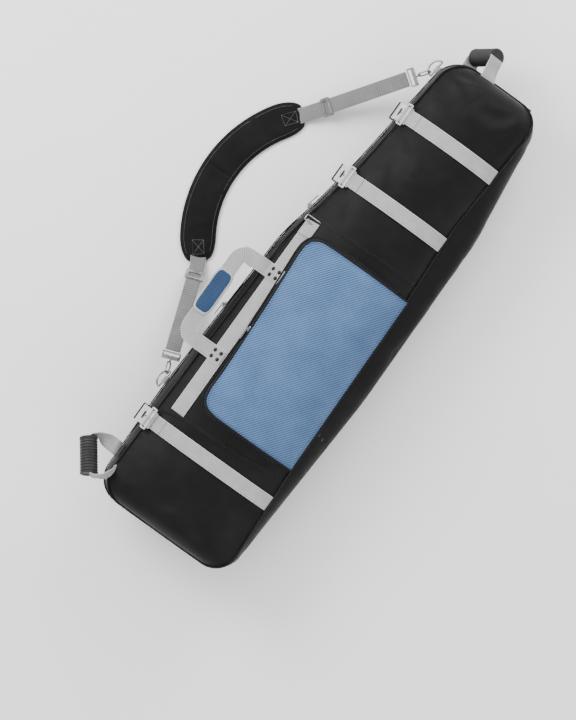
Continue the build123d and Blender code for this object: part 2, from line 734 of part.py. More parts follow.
strap_ends = {"upper": (upper_ring, pad_point(pad_start)), "lower": (lower_ring, pad_point(pad_stop))}
for name, (ring_middle, pad_end) in strap_ends.items():
    run = (pad_end - ring_middle).normalized()
    total = (pad_end - ring_middle).length
    ring_normal = swing.cross(run).normalized()
    if ring_normal.Z < 0:
        ring_normal = ring_normal * -1
    ring_plane = Plane(origin=ring_middle, x_dir=swing, z_dir=ring_normal)
    bow_side = 1 if ring_plane.to_local_coords(pad_end).Y > 0 else -1
    with BuildPart() as ring:
        with BuildLine(ring_plane) as ring_line:
            Line((-ring_radius, 0), (ring_radius, 0))
            ThreePointArc((ring_radius, 0), (0, bow_side * ring_radius), (-ring_radius, 0))
        with BuildSketch(Plane(origin=ring_middle, z_dir=swing)):
            Circle(ring_wire)
        sweep(path=ring_line.line, transition=Transition.ROUND)
    save(ring.part, f"ring_{name}")

    flat_side = Vector(0, 0, 1).cross(run).normalized()
    up = run.cross(flat_side)
    contact = ring_middle + run * ring_radius
    hook_plane = Plane(origin=contact, x_dir=run, z_dir=run.cross(ring_normal))
    neck = hook_length
    tip = hook_half - ring_wire - hook_wire - 0.6
    with BuildPart() as hook:
        with BuildLine(hook_plane) as hook_line:
            bend = neck - hook_half
            ThreePointArc((tip, hook_half), (tip - hook_half, 0), (tip, -hook_half))
            Line((tip, -hook_half), (bend, -hook_half))
            ThreePointArc((bend, -hook_half), (bend + 0.7 * hook_half, -0.7 * hook_half), (neck, 0))
            Line((neck, 0), (neck + 2, 0))
        with BuildSketch(Plane(origin=hook_plane.from_local_coords(Vector(tip, hook_half, 0)), z_dir=run)):
            Circle(hook_wire)
        sweep(path=hook_line.line)
        with BuildLine(hook_plane) as lug_line:
            ThreePointArc((bend + 1.5, hook_half - 0.2), (bend + 0.8 * hook_half, 0.6 * hook_half), (neck, 0))
        with BuildSketch(Plane(origin=hook_plane.from_local_coords(Vector(bend + 1.5, hook_half - 0.2, 0)), z_dir=run)):
            Circle(hook_wire)
        sweep(path=lug_line.line)
        with BuildSketch(Plane(origin=contact + run * (neck - 1), z_dir=run)):
            Circle(post_radius)
        extrude(amount=post_length)
        with BuildSketch(Plane(origin=contact + run * (neck + post_length - 1), z_dir=run)):
            Circle(post_radius + 1.4)
        extrude(amount=2.0)
    save(hook.part, f"hook_{name}")

    gate_start = hook_plane.from_local_coords(Vector(tip + 0.4, hook_half, 0))
    gate_length = bend + 1.1 - tip - 0.4
    with BuildPart() as gate:
        with BuildSketch(Plane(origin=gate_start, z_dir=run)):
            Circle(hook_wire * 0.85)
        extrude(amount=gate_length)
    save(gate.part, f"gate_{name}")

    eye_start = neck + post_length - 6
    eye_plane = Plane(origin=contact + run * eye_start, x_dir=run, z_dir=up)
    with BuildPart() as eye:
        with Locations(eye_plane * Pos(eye_length / 2, 0, 0)):
            Box(eye_length, eye_width, eye_wall + 2)
        with Locations(eye_plane * Pos(eye_length / 2 + 3, 0, 0)):
            Box(eye_length - 9, eye_width - 7, far, mode=Mode.SUBTRACT)
        with BuildSketch(Plane(origin=eye_plane.origin - run, z_dir=run)):
            Circle(post_radius + running_clearance)
        extrude(amount=eye_length / 2, mode=Mode.SUBTRACT)
        with BuildSketch(Plane(origin=eye_plane.origin + run * 5, z_dir=run)):
            Circle(post_radius + 1.4 + 4 * running_clearance)
        extrude(amount=4.0, mode=Mode.SUBTRACT)
    save(eye.part, f"swivel_eye_{name}")

    strap_start = ring_radius + eye_start + eye_length + layer_gap
    strap_plane = Plane(origin=ring_middle, x_dir=run, z_dir=up)
    strap_stop = total - 10.0
    with BuildPart() as strap:
        with Locations(strap_plane * Pos((strap_start + strap_stop) / 2, 0, 0)):
            Box(strap_stop - strap_start, webbing_width, strap_wall)
    save(strap.part, f"strap_webbing_{name}")

    with BuildPart() as adjuster:
        with Locations(strap_plane * Pos(adjuster_places[name], 0, 0)):
            Box(adjuster_length, eye_width, adjuster_wall)
            Box(adjuster_length, webbing_width + 1.0, strap_wall + 1.0, mode=Mode.SUBTRACT)
            Box(adjuster_length / 2, webbing_width - 6, far, mode=Mode.SUBTRACT)
    save(adjuster.part, f"adjuster_{name}")

with BuildPart() as shoulder_pad:
    with BuildSketch(Plane.XY.offset(pad_floor)):
        with BuildLine():
            inner_radius = pad_radius - pad_width / 2
            outer_radius = pad_radius + pad_width / 2
            span_angle = pad_stop - pad_start
            inner_arc = CenterArc(pad_centre, inner_radius, pad_start, span_angle)
            outer_arc = CenterArc(pad_centre, outer_radius, pad_start, span_angle)
            Line(inner_arc @ 0, outer_arc @ 0)
            Line(inner_arc @ 1, outer_arc @ 1)
        make_face()
    extrude(amount=pad_wall)
save(shoulder_pad.part, "shoulder_pad")

with BuildPart() as ring_tabs:
    for ring_middle in (lower_ring, upper_ring):
        tab_plane = Plane(origin=ring_middle, x_dir=swing, z_dir=(0, 0, 1))
        with Locations(tab_plane * Pos(0, tab_reach - 20, 0)):
            Box(tab_length, 40, 14)
    inner = case_solid(layer_gap)
    add(inner, mode=Mode.SUBTRACT)
    for ring_middle in (lower_ring, upper_ring):
        with BuildSketch(Plane(origin=ring_middle, z_dir=swing)):
            Circle(ring_wire + running_clearance)
        extrude(amount=tab_length, both=True, mode=Mode.SUBTRACT)
save(ring_tabs.part, "ring_tabs")

# ---------------------------------------------------------------- tie-down straps inside
with BuildPart() as tie_down_straps:
    for place in tie_down_places:
        base = board_base + board_wall + layer_gap
        half = webbing_width / 2
        span(place - half, place + half, board_edge(place, -1), board_edge(place, 1), base, base + webbing_wall, Mode.ADD)
save(tie_down_straps.part, "tie_down_straps")
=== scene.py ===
"""Golf travel case: fabric shells, webbing, zippers, pocket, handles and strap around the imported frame.

Lengths are in millimetres and become metres when a mesh is made. +X runs from the wheel end to the top end,
+Y to the zipper side and +Z up through the front panel, as in the frame.
"""

import json
import logging
from dataclasses import dataclass, field
from enum import Enum
from typing import Callable, Iterable, Sequence

import bmesh
import bpy
import numpy as np
from mathutils import Matrix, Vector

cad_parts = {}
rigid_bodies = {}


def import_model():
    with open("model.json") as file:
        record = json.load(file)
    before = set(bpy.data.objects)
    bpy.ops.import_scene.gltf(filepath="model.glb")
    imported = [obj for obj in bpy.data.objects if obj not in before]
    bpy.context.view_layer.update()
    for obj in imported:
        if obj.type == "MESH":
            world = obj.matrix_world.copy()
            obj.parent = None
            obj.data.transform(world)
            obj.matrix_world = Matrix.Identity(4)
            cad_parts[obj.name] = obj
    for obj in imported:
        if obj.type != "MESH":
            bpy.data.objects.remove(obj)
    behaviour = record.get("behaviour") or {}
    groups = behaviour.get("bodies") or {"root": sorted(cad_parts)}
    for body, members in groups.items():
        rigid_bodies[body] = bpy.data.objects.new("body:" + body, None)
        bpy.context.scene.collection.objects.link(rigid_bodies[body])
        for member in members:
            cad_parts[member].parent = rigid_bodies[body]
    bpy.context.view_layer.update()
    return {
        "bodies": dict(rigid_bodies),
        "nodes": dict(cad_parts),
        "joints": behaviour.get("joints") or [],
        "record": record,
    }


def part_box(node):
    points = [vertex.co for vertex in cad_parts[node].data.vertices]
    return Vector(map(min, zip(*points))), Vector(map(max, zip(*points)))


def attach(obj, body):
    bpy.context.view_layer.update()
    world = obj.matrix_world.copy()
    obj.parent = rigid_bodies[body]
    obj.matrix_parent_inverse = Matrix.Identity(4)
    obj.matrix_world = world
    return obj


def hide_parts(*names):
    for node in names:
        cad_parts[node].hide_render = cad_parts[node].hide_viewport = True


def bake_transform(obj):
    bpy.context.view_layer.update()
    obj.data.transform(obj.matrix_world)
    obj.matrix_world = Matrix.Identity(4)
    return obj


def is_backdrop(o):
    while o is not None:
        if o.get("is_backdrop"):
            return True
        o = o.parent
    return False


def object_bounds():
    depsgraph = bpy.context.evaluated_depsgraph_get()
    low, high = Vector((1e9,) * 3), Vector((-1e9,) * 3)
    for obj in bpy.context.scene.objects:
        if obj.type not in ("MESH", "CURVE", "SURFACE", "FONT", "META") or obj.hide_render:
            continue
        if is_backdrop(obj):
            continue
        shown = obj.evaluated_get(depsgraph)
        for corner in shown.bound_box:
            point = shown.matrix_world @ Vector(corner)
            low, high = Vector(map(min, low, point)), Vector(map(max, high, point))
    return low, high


LOG = logging.getLogger("travel_case")
MM = 0.001
Array = np.ndarray


# ---------------------------------------------------------------- meshes
def grid_quads(rows: int, columns: int, closed: bool = False) -> Array:
    """Quads of a grid whose points are stored row by row.

    Args:
        rows: Number of rows.
        columns: Points in each row.
        closed: Whether the last column joins the first.

    Returns:
        Corner numbers, one row of four for each quad.
    """
    row = np.arange(rows - 1)[:, None]
    column = np.arange(columns if closed else columns - 1)[None, :]
    after = (column + 1) % columns
    corners = (row * columns + column, row * columns + after, (row + 1) * columns + after,
               (row + 1) * columns + column)
    return np.stack(np.broadcast_arrays(*corners), axis=-1).reshape(-1, 4)


@dataclass
class Surface:
    """Points in millimetres, faces as arrays of corner numbers, and a position on the cloth for each
    point."""

    points: Array
    faces: list[Array]
    cloth: Array

    def __add__(self, other: "Surface") -> "Surface":
        """Both surfaces as one."""
        shift = len(self.points)
        return Surface(
            np.vstack([self.points, other.points]),
            self.faces + [face + shift for face in other.faces],
            np.vstack([self.cloth, other.cloth]),
        )

    def turned_over(self) -> "Surface":
        """The same surface with its faces looking the other way."""
        return Surface(self.points, [face[:, ::-1] for face in self.faces], self.cloth)

    def volume(self) -> float:
        """Signed volume: a sixth of the triple product of each fan triangle, added up."""
        total = 0.0
        middle = self.points.mean(axis=0)
        for face in self.faces:
            corners = self.points[face] - middle
            for k in range(1, face.shape[1] - 1):
                cross = np.cross(corners[:, k], corners[:, k + 1])
                total += float((corners[:, 0] * cross).sum()) / 6
        return total

    def outward(self) -> "Surface":
        """The surface with its faces looking out, for a closed surface."""
        return self if self.volume() > 0 else self.turned_over()

    def facing(self, direction: Callable[[Array], Array]) -> "Surface":
        """The surface turned so that most of its faces look along a direction field.

        Args:
            direction: Gives a direction for each face's middle.

        Returns:
            The surface, turned over if it has to be.
        """
        quads = self.points[self.faces[0]]
        normal = np.cross(quads[:, 2] - quads[:, 0], quads[:, 3] - quads[:, 1])
        agree = (normal * direction(quads.mean(axis=1))).sum()
        return self if agree > 0 else self.turned_over()

    def build(self, name: str, weld: bool = False, flat: bool = False) -> bpy.types.Object:
        """Make the mesh object, at the origin.

        Args:
            name: Name of the piece.
            weld: Whether points in one place are merged.
            flat: Whether faces are shaded flat.

        Returns:
            The new object.
        """
        mesh = bpy.data.meshes.new(name)
        sizes = np.concatenate([np.full(len(face), face.shape[1]) for face in self.faces])
        loops = np.concatenate([face.ravel() for face in self.faces])
        mesh.vertices.add(len(self.points))
        mesh.vertices.foreach_set("co", (self.points * MM).ravel())
        mesh.loops.add(len(loops))
        mesh.loops.foreach_set("vertex_index", loops)
        mesh.polygons.add(len(sizes))
        mesh.polygons.foreach_set("loop_start", np.concatenate([[0], np.cumsum(sizes)[:-1]]))
        mesh.polygons.foreach_set("loop_total", sizes)
        layer = mesh.uv_layers.new(name="cloth")
        layer.data.foreach_set("uv", (self.cloth[loops] * MM).ravel())
        mesh.update(calc_edges=True)
        mesh.validate()
        if weld:
            work = bmesh.new()
            work.from_mesh(mesh)
            bmesh.ops.remove_doubles(work, verts=work.verts, dist=2e-5)
            work.to_mesh(mesh)
            work.free()
        mesh.polygons.foreach_set("use_smooth", np.full(len(mesh.polygons), not flat))
        mesh.update()
        piece = bpy.data.objects.new(name, mesh)
        bpy.context.scene.collection.objects.link(piece)
        return piece


def join(surfaces: Iterable[Surface]) -> Surface:
    """Several surfaces as one.

    Args:
        surfaces: At least one surface.

    Returns:
        All of them in one.
    """
    parts = list(surfaces)
    shifts = np.cumsum([0] + [len(part.points) for part in parts[:-1]])
    faces = [face + shift for part, shift in zip(parts, shifts) for face in part.faces]
    return Surface(np.vstack([p.points for p in parts]), faces, np.vstack([p.cloth for p in parts]))


def unit(vectors: Array) -> Array:
    """Vectors scaled to length one."""
    return vectors / np.maximum(np.linalg.norm(vectors, axis=-1, keepdims=True), 1e-9)


def lengths(path: Array) -> Array:
    """Distance along a path at each of its points."""
    return np.concatenate([[0.0], np.cumsum(np.linalg.norm(np.diff(path, axis=0), axis=1))])


def evenly(path: Array, step: float, closed: bool = False) -> Array:
    """A path's points spaced evenly: each coordinate is read off against the distance along the path.

    Args:
        path: Points, in order.
        step: Distance between new points, about.
        closed: Whether the path ends where it starts.

    Returns:
        New points; a closed path's first point isn't repeated.
    """
    line = np.vstack([path, path[:1]]) if closed else path
    reach = lengths(line)
    count = max(2, int(round(reach[-1] / step)) + 1)
    places = np.linspace(0, reach[-1], count)
    points = np.stack([np.interp(places, reach, line[:, k]) for k in range(line.shape[1])], axis=1)
    return points[:-1] if closed else points


def rounded(path: Array, step: float, softness: float) -> Array:
    """A path with its corners softened: points spaced evenly, then averaged over a window along the path.

    Args:
        path: Corner points.
        step: Distance between the new points.
        softness: Length of the window.

    Returns:
        A smooth path with the same ends.
    """
    points = evenly(np.asarray(path, float), step)
    window = max(1, int(softness / step / 2))
    padded = np.vstack([2 * points[0] - points[window:0:-1], points,
                        2 * points[-1] - points[-2 : -window - 2 : -1]])
    kernel = np.hanning(2 * window + 3)[1:-1]
    kernel /= kernel.sum()
    return np.stack([np.convolve(padded[:, k], kernel, mode="valid") for k in range(points.shape[1])], axis=1)


def carried(outline: Array, path: Array, across: Array, normal: Array, closed: bool = False) -> Surface:
    """A closed outline carried along a path: point + first value * across + second value * normal.

    Args:
        outline: Closed outline as (across, normal) pairs.
        path: Points of the path.
        across: Unit vector of the outline's first value at each point.
        normal: Unit vector of the outline's second value at each point.
        closed: Whether the path ends where it starts.

    Returns:
        A closed surface; its cloth position is the distance along the path and the place across.
    """
    rows, columns = len(path), len(outline)
    points = path[:, None] + outline[None, :, :1] * across[:, None] + outline[None, :, 1:] * normal[:, None]
    line = np.vstack([path, path[:1]]) if closed else path
    reach = lengths(line)[:rows]
    cloth = np.stack(np.broadcast_arrays(reach[:, None], outline[None, :, 0]), axis=-1).reshape(-1, 2)
    quads = grid_quads(rows, columns, closed=True)
    faces = [quads]
    if closed:
        last = grid_quads(2, columns, closed=True)
        faces.append(np.where(last >= columns, last - columns, last + (rows - 1) * columns))
    else:
        faces.append(np.arange(columns)[None, ::-1])
        faces.append(np.arange(columns)[None, :] + (rows - 1) * columns)
    return Surface(points.reshape(-1, 3), faces, cloth).outward()


def flat_outline(width: float, wall: float, steps: int = 6) -> Array:
    """A strap's section: a flat bar whose edges are half circles, as (across, normal) pairs.

    Args:
        width: Width of the strap.
        wall: Thickness.
        steps: Points across each face.

    Returns:
        The closed outline.
    """
    half = width / 2 - wall / 2
    flat = np.linspace(-half, half, steps)
    turn = np.radians([-60.0, -30.0, 0.0, 30.0, 60.0])
    right = np.stack([half + wall / 2 * np.cos(turn), wall / 2 * np.sin(turn)], axis=1)
    top = np.stack([flat[::-1], np.full(steps, wall / 2)], axis=1)
    bottom = np.stack([flat, np.full(steps, -wall / 2)], axis=1)
    return np.vstack([bottom, right, top, -right])


def round_outline(radius: float, sides: int = 10) -> Array:
    """A circle, as (across, normal) pairs."""
    turn = np.linspace(0, 2 * np.pi, sides, endpoint=False)
    return radius * np.stack([np.cos(turn), np.sin(turn)], axis=1)


def frames(path: Array, lean: Array, closed: bool = False) -> tuple[Array, Array]:
    """Directions across a path and away from its surface.

    Args:
        path: Points of the path.
        lean: Direction, one or one for each point, that the normal leans to.
        closed: Whether the path ends where it starts.

    Returns:
        Unit vectors across the path, and unit normals: across is tangent x lean, and normal is across x
        tangent.
    """
    if closed:
        tangent = unit(np.roll(path, -1, axis=0) - np.roll(path, 1, axis=0))
    else:
        tangent = unit(np.gradient(path, axis=0))
    across = unit(np.cross(tangent, np.broadcast_to(lean, path.shape)))
    return across, unit(np.cross(across, tangent))


def strap(path: Array, lean: Array, width: float, wall: float) -> Surface:
    """A flat strap along a path, with its face turned to a direction."""
    across, normal = frames(path, lean)
    return carried(flat_outline(width, wall), path, across, normal)


def tube(path: Array, lean: Array, radius: float, closed: bool = False, sides: int = 10) -> Surface:
    """A round cord along a path."""
    across, normal = frames(path, lean, closed)
    return carried(round_outline(radius, sides), path, across, normal, closed)


def beads(middles: Array, along: Array, up: Array, size: Sequence[float], rings: int = 4,
          sides: int = 6) -> Surface:
    """Small rounded bars, such as stitches and zipper teeth: each ring's radius is the root of one minus its
    place squared, so the bar closes at both ends.

    Args:
        middles: Middle of each bar.
        along: Unit vector along each bar.
        up: Unit vector up from the surface at each bar.
        size: Half length, half width and half height.
        rings: Rings of points between the two closed ends.
        sides: Points in each ring.

    Returns:
        All the bars as one surface.
    """
    side = unit(np.cross(up, along))
    place = np.sin(np.linspace(-80, 80, rings) * np.pi / 180)
    girth = np.sqrt(1 - place**2) ** 0.5
    turn = np.linspace(0, 2 * np.pi, sides, endpoint=False)
    ring = np.stack(np.broadcast_arrays(place[:, None], np.cos(turn) * girth[:, None],
                                        np.sin(turn) * girth[:, None]), -1)
    ring = ring.reshape(-1, 3) * np.asarray(size)
    axes = np.stack([along, side, np.cross(along, side)], axis=1)
    points = middles[:, None] + np.einsum("kj,njd->nkd", ring, axes)
    count = rings * sides
    quads = grid_quads(rings, sides, closed=True)
    ends = np.stack([np.arange(sides)[::-1], np.arange(sides) + count - sides])
    shift = (np.arange(len(middles)) * count)[:, None, None]
    cloth = np.repeat(middles[:, :2], count, axis=0)
    surface = Surface(points.reshape(-1, 3),
                      [(quads[None] + shift).reshape(-1, 4), (ends[None] + shift).reshape(-1, sides)], cloth)
    one = Surface(points[0], [quads, ends], cloth[:count])
    return surface if one.volume() > 0 else surface.turned_over()


def stitches(path: Array, lean: Array, pitch: float = 3.6, thread: float = 0.42,
             lift: float = 0.1) -> Surface:
    """A line of lock stitches: one short bar for each pitch along a path, its middle a little above the
    cloth.

    Args:
        path: Points along the seam, on the cloth.
        lean: Direction away from the cloth.
        pitch: Distance from one stitch to the next.
        thread: Radius of the thread.
        lift: Middle of the thread above the cloth.

    Returns:
        The stitches as one surface.
    """
    points = evenly(path, pitch)
    middles = (points[1:] + points[:-1]) / 2
    along = unit(np.diff(points, axis=0))
    lean = np.broadcast_to(lean, path.shape)
    reach, places = lengths(path), (lengths(points)[1:] + lengths(points)[:-1]) / 2
    up = np.stack([np.interp(places, reach, lean[:, k]) for k in range(3)], axis=1)
    up = unit(up - (up * along).sum(axis=1, keepdims=True) * along)
    return beads(middles + up * lift, along, up, (pitch * 0.36, thread, thread))


# ---------------------------------------------------------------- finishes
class Graph:
    """The node tree of one material."""

    def __init__(self, name: str) -> None:
        """Start an empty material with its output node."""
        self.material = bpy.data.materials.new(name)
        self.material.use_nodes = True
        self.tree = self.material.node_tree
        self.tree.nodes.clear()
        self.output = self.node("ShaderNodeOutputMaterial")

    def node(self, kind: str, settings: dict | None = None, inputs: dict | None = None) -> bpy.types.Node:
        """Add a node.

        Args:
            kind: The node's type.
            settings: The node's own properties, set first. "stops" holds a ramp's places and colours.
            inputs: Values, links or Value objects by socket name or number.

        Returns:
            The new node.
        """
        node = self.tree.nodes.new(kind)
        for key, value in (settings or {}).items():
            if key == "stops":
                while len(node.color_ramp.elements) < len(value):
                    node.color_ramp.elements.new(0.5)
                for element, (place, colour) in zip(node.color_ramp.elements, value):
                    element.position = place
                    element.color = colour
            else:
                setattr(node, key, value)
        for key, value in (inputs or {}).items():
            socket = node.inputs[key]
            if isinstance(value, Value):
                self.tree.links.new(value.socket, socket)
            elif isinstance(value, bpy.types.NodeSocket):
                self.tree.links.new(value, socket)
            else:
                socket.default_value = value
        return node

    def axes(self, source: str) -> tuple["Value", "Value", "Value"]:
        """The three coordinates of a point, in millimetres.

        Args:
            source: "UV" for the place on the cloth, "Object" for the place on the object.

        Returns:
            The three values.
        """
        place = self.node("ShaderNodeTexCoord").outputs[source]
        split = self.node("ShaderNodeSeparateXYZ", inputs={0: place})
        return tuple(Value(self, split.outputs[k]) * 1000.0 for k in range(3))

    def point(self, x: "Value", y: "Value", z: "Value | float" = 0.0) -> bpy.types.NodeSocket:
        """A vector from three values."""
        return self.node("ShaderNodeCombineXYZ", inputs={0: x, 1: y, 2: z}).outputs[0]

    def noise(self, vector: bpy.types.NodeSocket, scale: float, detail: float = 2.0) -> "Value":
        """Smooth noise of about one patch per unit of scale."""
        inputs = {"Vector": vector, "Scale": scale, "Detail": detail}
        return Value(self, self.node("ShaderNodeTexNoise", inputs=inputs).outputs["Fac"])

    def blend(self, share: "Value", low: Sequence[float], high: Sequence[float]) -> bpy.types.NodeSocket:
        """A colour between two colours."""
        settings = {"data_type": "RGBA"}
        inputs = {"Factor": share, 6: (*low, 1.0), 7: (*high, 1.0)}
        return self.node("ShaderNodeMix", settings, inputs).outputs[2]

    def surface(self, colour: object, rough: object, height: "Value | None", depth: float,
                **fixed: float) -> None:
        """Finish with one principled shader.

        Args:
            colour: Base colour, or a link that gives it.
            rough: Roughness, or a value that gives it.
            height: Height of the surface's relief from 0 to 1, or None.
            depth: Relief in metres.
            fixed: Other inputs that are the same all over, with _ for a space.
        """
        inputs = {"Base Color": colour, "Roughness": rough}
        inputs.update({key.replace("_", " "): value for key, value in fixed.items()})
        if height is not None:
            bump = {"Height": height, "Distance": depth, "Strength": 1.0}
            inputs["Normal"] = self.node("ShaderNodeBump", inputs=bump).outputs[0]
        shader = self.node("ShaderNodeBsdfPrincipled", inputs=inputs)
        self.tree.links.new(shader.outputs[0], self.output.inputs[0])


@dataclass(frozen=True)
class Value:
    """A number that changes over the surface; expressions on it add Math nodes."""

    graph: Graph
    socket: bpy.types.NodeSocket

    def math(self, operation: str, *others: "Value | float", first: "Value | float | None" = None) -> "Value":
        """Add a Math node.

        Args:
            operation: The node's operation.
            others: Its other inputs.
            first: What comes before this value, where the order is reflected.

        Returns:
            The node's result.
        """
        terms = [self, *others] if first is None else [first, self]
        node = self.graph.node("ShaderNodeMath", {"operation": operation}, dict(enumerate(terms)))
        return Value(self.graph, node.outputs[0])

    def __add__(self, other: "Value | float") -> "Value":
        """Sum."""
        return self.math("ADD", other)

    def __radd__(self, other: float) -> "Value":
        """Sum, reflected."""
        return self.math("ADD", other)

    def __sub__(self, other: "Value | float") -> "Value":
        """Difference."""
        return self.math("SUBTRACT", other)

    def __rsub__(self, other: float) -> "Value":
        """Difference, reflected."""
        return self.math("SUBTRACT", first=other)

    def __mul__(self, other: "Value | float") -> "Value":
        """Product."""
        return self.math("MULTIPLY", other)

    def __rmul__(self, other: float) -> "Value":
        """Product, reflected."""
        return self.math("MULTIPLY", other)

    def __truediv__(self, other: "Value | float") -> "Value":
        """Quotient."""
        return self.math("DIVIDE", other)

    def __abs__(self) -> "Value":
        """Size without sign."""
        return self.math("ABSOLUTE")

    def sine(self, pitch: float) -> "Value":
        """A wave from 0 to 1 that repeats every pitch."""
        return (self * (2 * np.pi / pitch)).math("SINE") * 0.5 + 0.5

    def saw(self, pitch: float) -> "Value":
        """A ramp from 0 to 1 that repeats every pitch."""
        return (self * (1 / pitch)).math("FRACT")

    def step(self, low: float, high: float) -> "Value":
        """0 below low, 1 above high and smooth between; low may be above high."""
        settings = {"interpolation_type": "SMOOTHSTEP"}
        node = self.graph.node("ShaderNodeMapRange", settings, {0: self, 1: low, 2: high, 3: 0.0, 4: 1.0})
        return Value(self.graph, node.outputs[0])


class Weave(Enum):
    """How a cloth is woven."""

    PLAIN = "plain"
    TWILL = "twill"
    OXFORD = "oxford"


@dataclass(frozen=True)
class Cloth:
    """Coated polyester cloth."""

    name: str
    slot: str
    dark: tuple[float, float, float]
    light: tuple[float, float, float]
    weave: Weave = Weave.PLAIN
    thread: float = 1.1
    rough: float = 0.6
    sheen: float = 0.05
    relief: float = 0.00012
    contrast: float = 0.35

    def material(self) -> bpy.types.Material:
        """Threads crossing over and under, with slow changes of tone and fine slubs along the threads.

        Returns:
            The material.
        """
        g = Graph(self.name)
        u, v, _ = g.axes("UV")
        if self.weave is Weave.TWILL:
            diagonal = (u * 0.62 + v * 0.78).sine(self.thread * 2.1)
            threads = diagonal * (0.75 + 0.25 * u.sine(self.thread))
        elif self.weave is Weave.OXFORD:
            threads = u.sine(self.thread) * v.sine(self.thread)
        else:
            threads = (u.sine(self.thread) - v.sine(self.thread)).math("ABSOLUTE")
        flat = g.point(u, v)
        slubs = g.noise(g.point(u * 0.15, v * 2.0), 0.5)
        tone = g.noise(flat, 0.012, 3.0)
        share = threads * self.contrast + slubs * 0.25 + tone * 0.5
        colour = g.blend(share.step(0.2, 0.95), self.dark, self.light)
        g.surface(colour, self.rough - 0.12 * tone, threads * 0.8 + slubs * 0.3, self.relief,
                  Sheen_Weight=self.sheen, Sheen_Roughness=0.45, Specular_IOR_Level=0.11)
        return g.material


@dataclass(frozen=True)
class Webbing:
    """Woven strap: cross ribs or herringbone, with a plain edge."""

    name: str
    slot: str
    dark: tuple[float, float, float]
    light: tuple[float, float, float]
    width: float
    herringbone: bool = False
    pitch: float = 2.0

    def material(self) -> bpy.types.Material:
        """Ribs across the strap, or ribs leaning one way and the other in bands, between two firm edges.

        Returns:
            The material.
        """
        g = Graph(self.name)
        u, v, _ = g.axes("UV")
        half = self.width / 2
        if self.herringbone:
            lean = abs(v.saw(self.width / 4) - 0.5) * (self.width / 4)
            ribs = (u + lean).sine(self.pitch)
        else:
            ribs = u.sine(self.pitch) * (0.7 + 0.3 * v.sine(self.pitch * 1.3))
        edge = abs(v).step(half - 3.4, half - 2.6)
        groove = edge * (1 - abs(v).step(half - 2.4, half - 1.8))
        wear = g.noise(g.point(u, v), 0.03, 4.0)
        fuzz = g.noise(g.point(u * 2.0, v * 0.6), 0.6)
        share = ribs * 0.55 + edge * 0.35 + fuzz * 0.2 + wear * 0.3 - groove * 0.5
        colour = g.blend(share.step(0.05, 0.95), self.dark, self.light)
        g.surface(colour, 0.75 - 0.15 * wear, ribs * (1 - edge * 0.6) + fuzz * 0.3 - groove, 0.0005,
                  Sheen_Weight=0.05, Sheen_Roughness=0.5, Specular_IOR_Level=0.2)
        return g.material


@dataclass(frozen=True)
class Moulding:
    """Moulded plastic, rubber or foam, with a fine grain on object coordinates."""

    name: str
    slot: str
    dark: tuple[float, float, float]
    light: tuple[float, float, float]
    rough: float = 0.45
    grain: float = 1.2
    relief: float = 0.00008
    metal: float = 0.0
    coat: float = 0.0
    brushed: bool = False
    gloss: float = 0.3

    def material(self) -> bpy.types.Material:
        """Fine grain, with scuffs that change the tone and the gloss a little.

        Returns:
            The material.
        """
        g = Graph(self.name)
        x, y, z = g.axes("Object")
        place = g.point(x, y, z)
        stretch = g.point(x * 0.2, y, z * 0.2) if self.brushed else place
        grain = g.noise(stretch, 1 / self.grain, 3.0)
        scuff = g.noise(place, 0.05, 4.0)
        colour = g.blend((grain * 0.4 + scuff * 0.7).step(0.25, 0.85), self.dark, self.light)
        g.surface(colour, self.rough + 0.18 * (scuff - 0.5) + 0.08 * grain, grain, self.relief,
                  Metallic=self.metal, Coat_Weight=self.coat, Coat_Roughness=0.25,
                  Specular_IOR_Level=self.gloss)
        return g.material


@dataclass(frozen=True)
class Quilt:
    """Foam lining under brushed cloth, with a quilted grid."""

    name: str
    slot: str
    dark: tuple[float, float, float]
    light: tuple[float, float, float]
    pitch: float = 42.0

    def material(self) -> bpy.types.Material:
        """Pillows between lines that cross at a slant, with a soft nap.

        Returns:
            The material.
        """
        g = Graph(self.name)
        u, v, _ = g.axes("UV")
        one, two = abs((u + v).saw(self.pitch) - 0.5), abs((u - v).saw(self.pitch) - 0.5)
        line = one.math("MAXIMUM", two).step(0.5, 0.36)
        nap = g.noise(g.point(u, v), 1.2, 3.0)
        colour = g.blend(line * 0.6 + nap * 0.4, self.dark, self.light)
        g.surface(colour, 0.9 - 0.1 * nap, line * 0.8 + nap * 0.15, 0.0012, Sheen_Weight=0.3,
                  Sheen_Roughness=0.6)
        return g.material


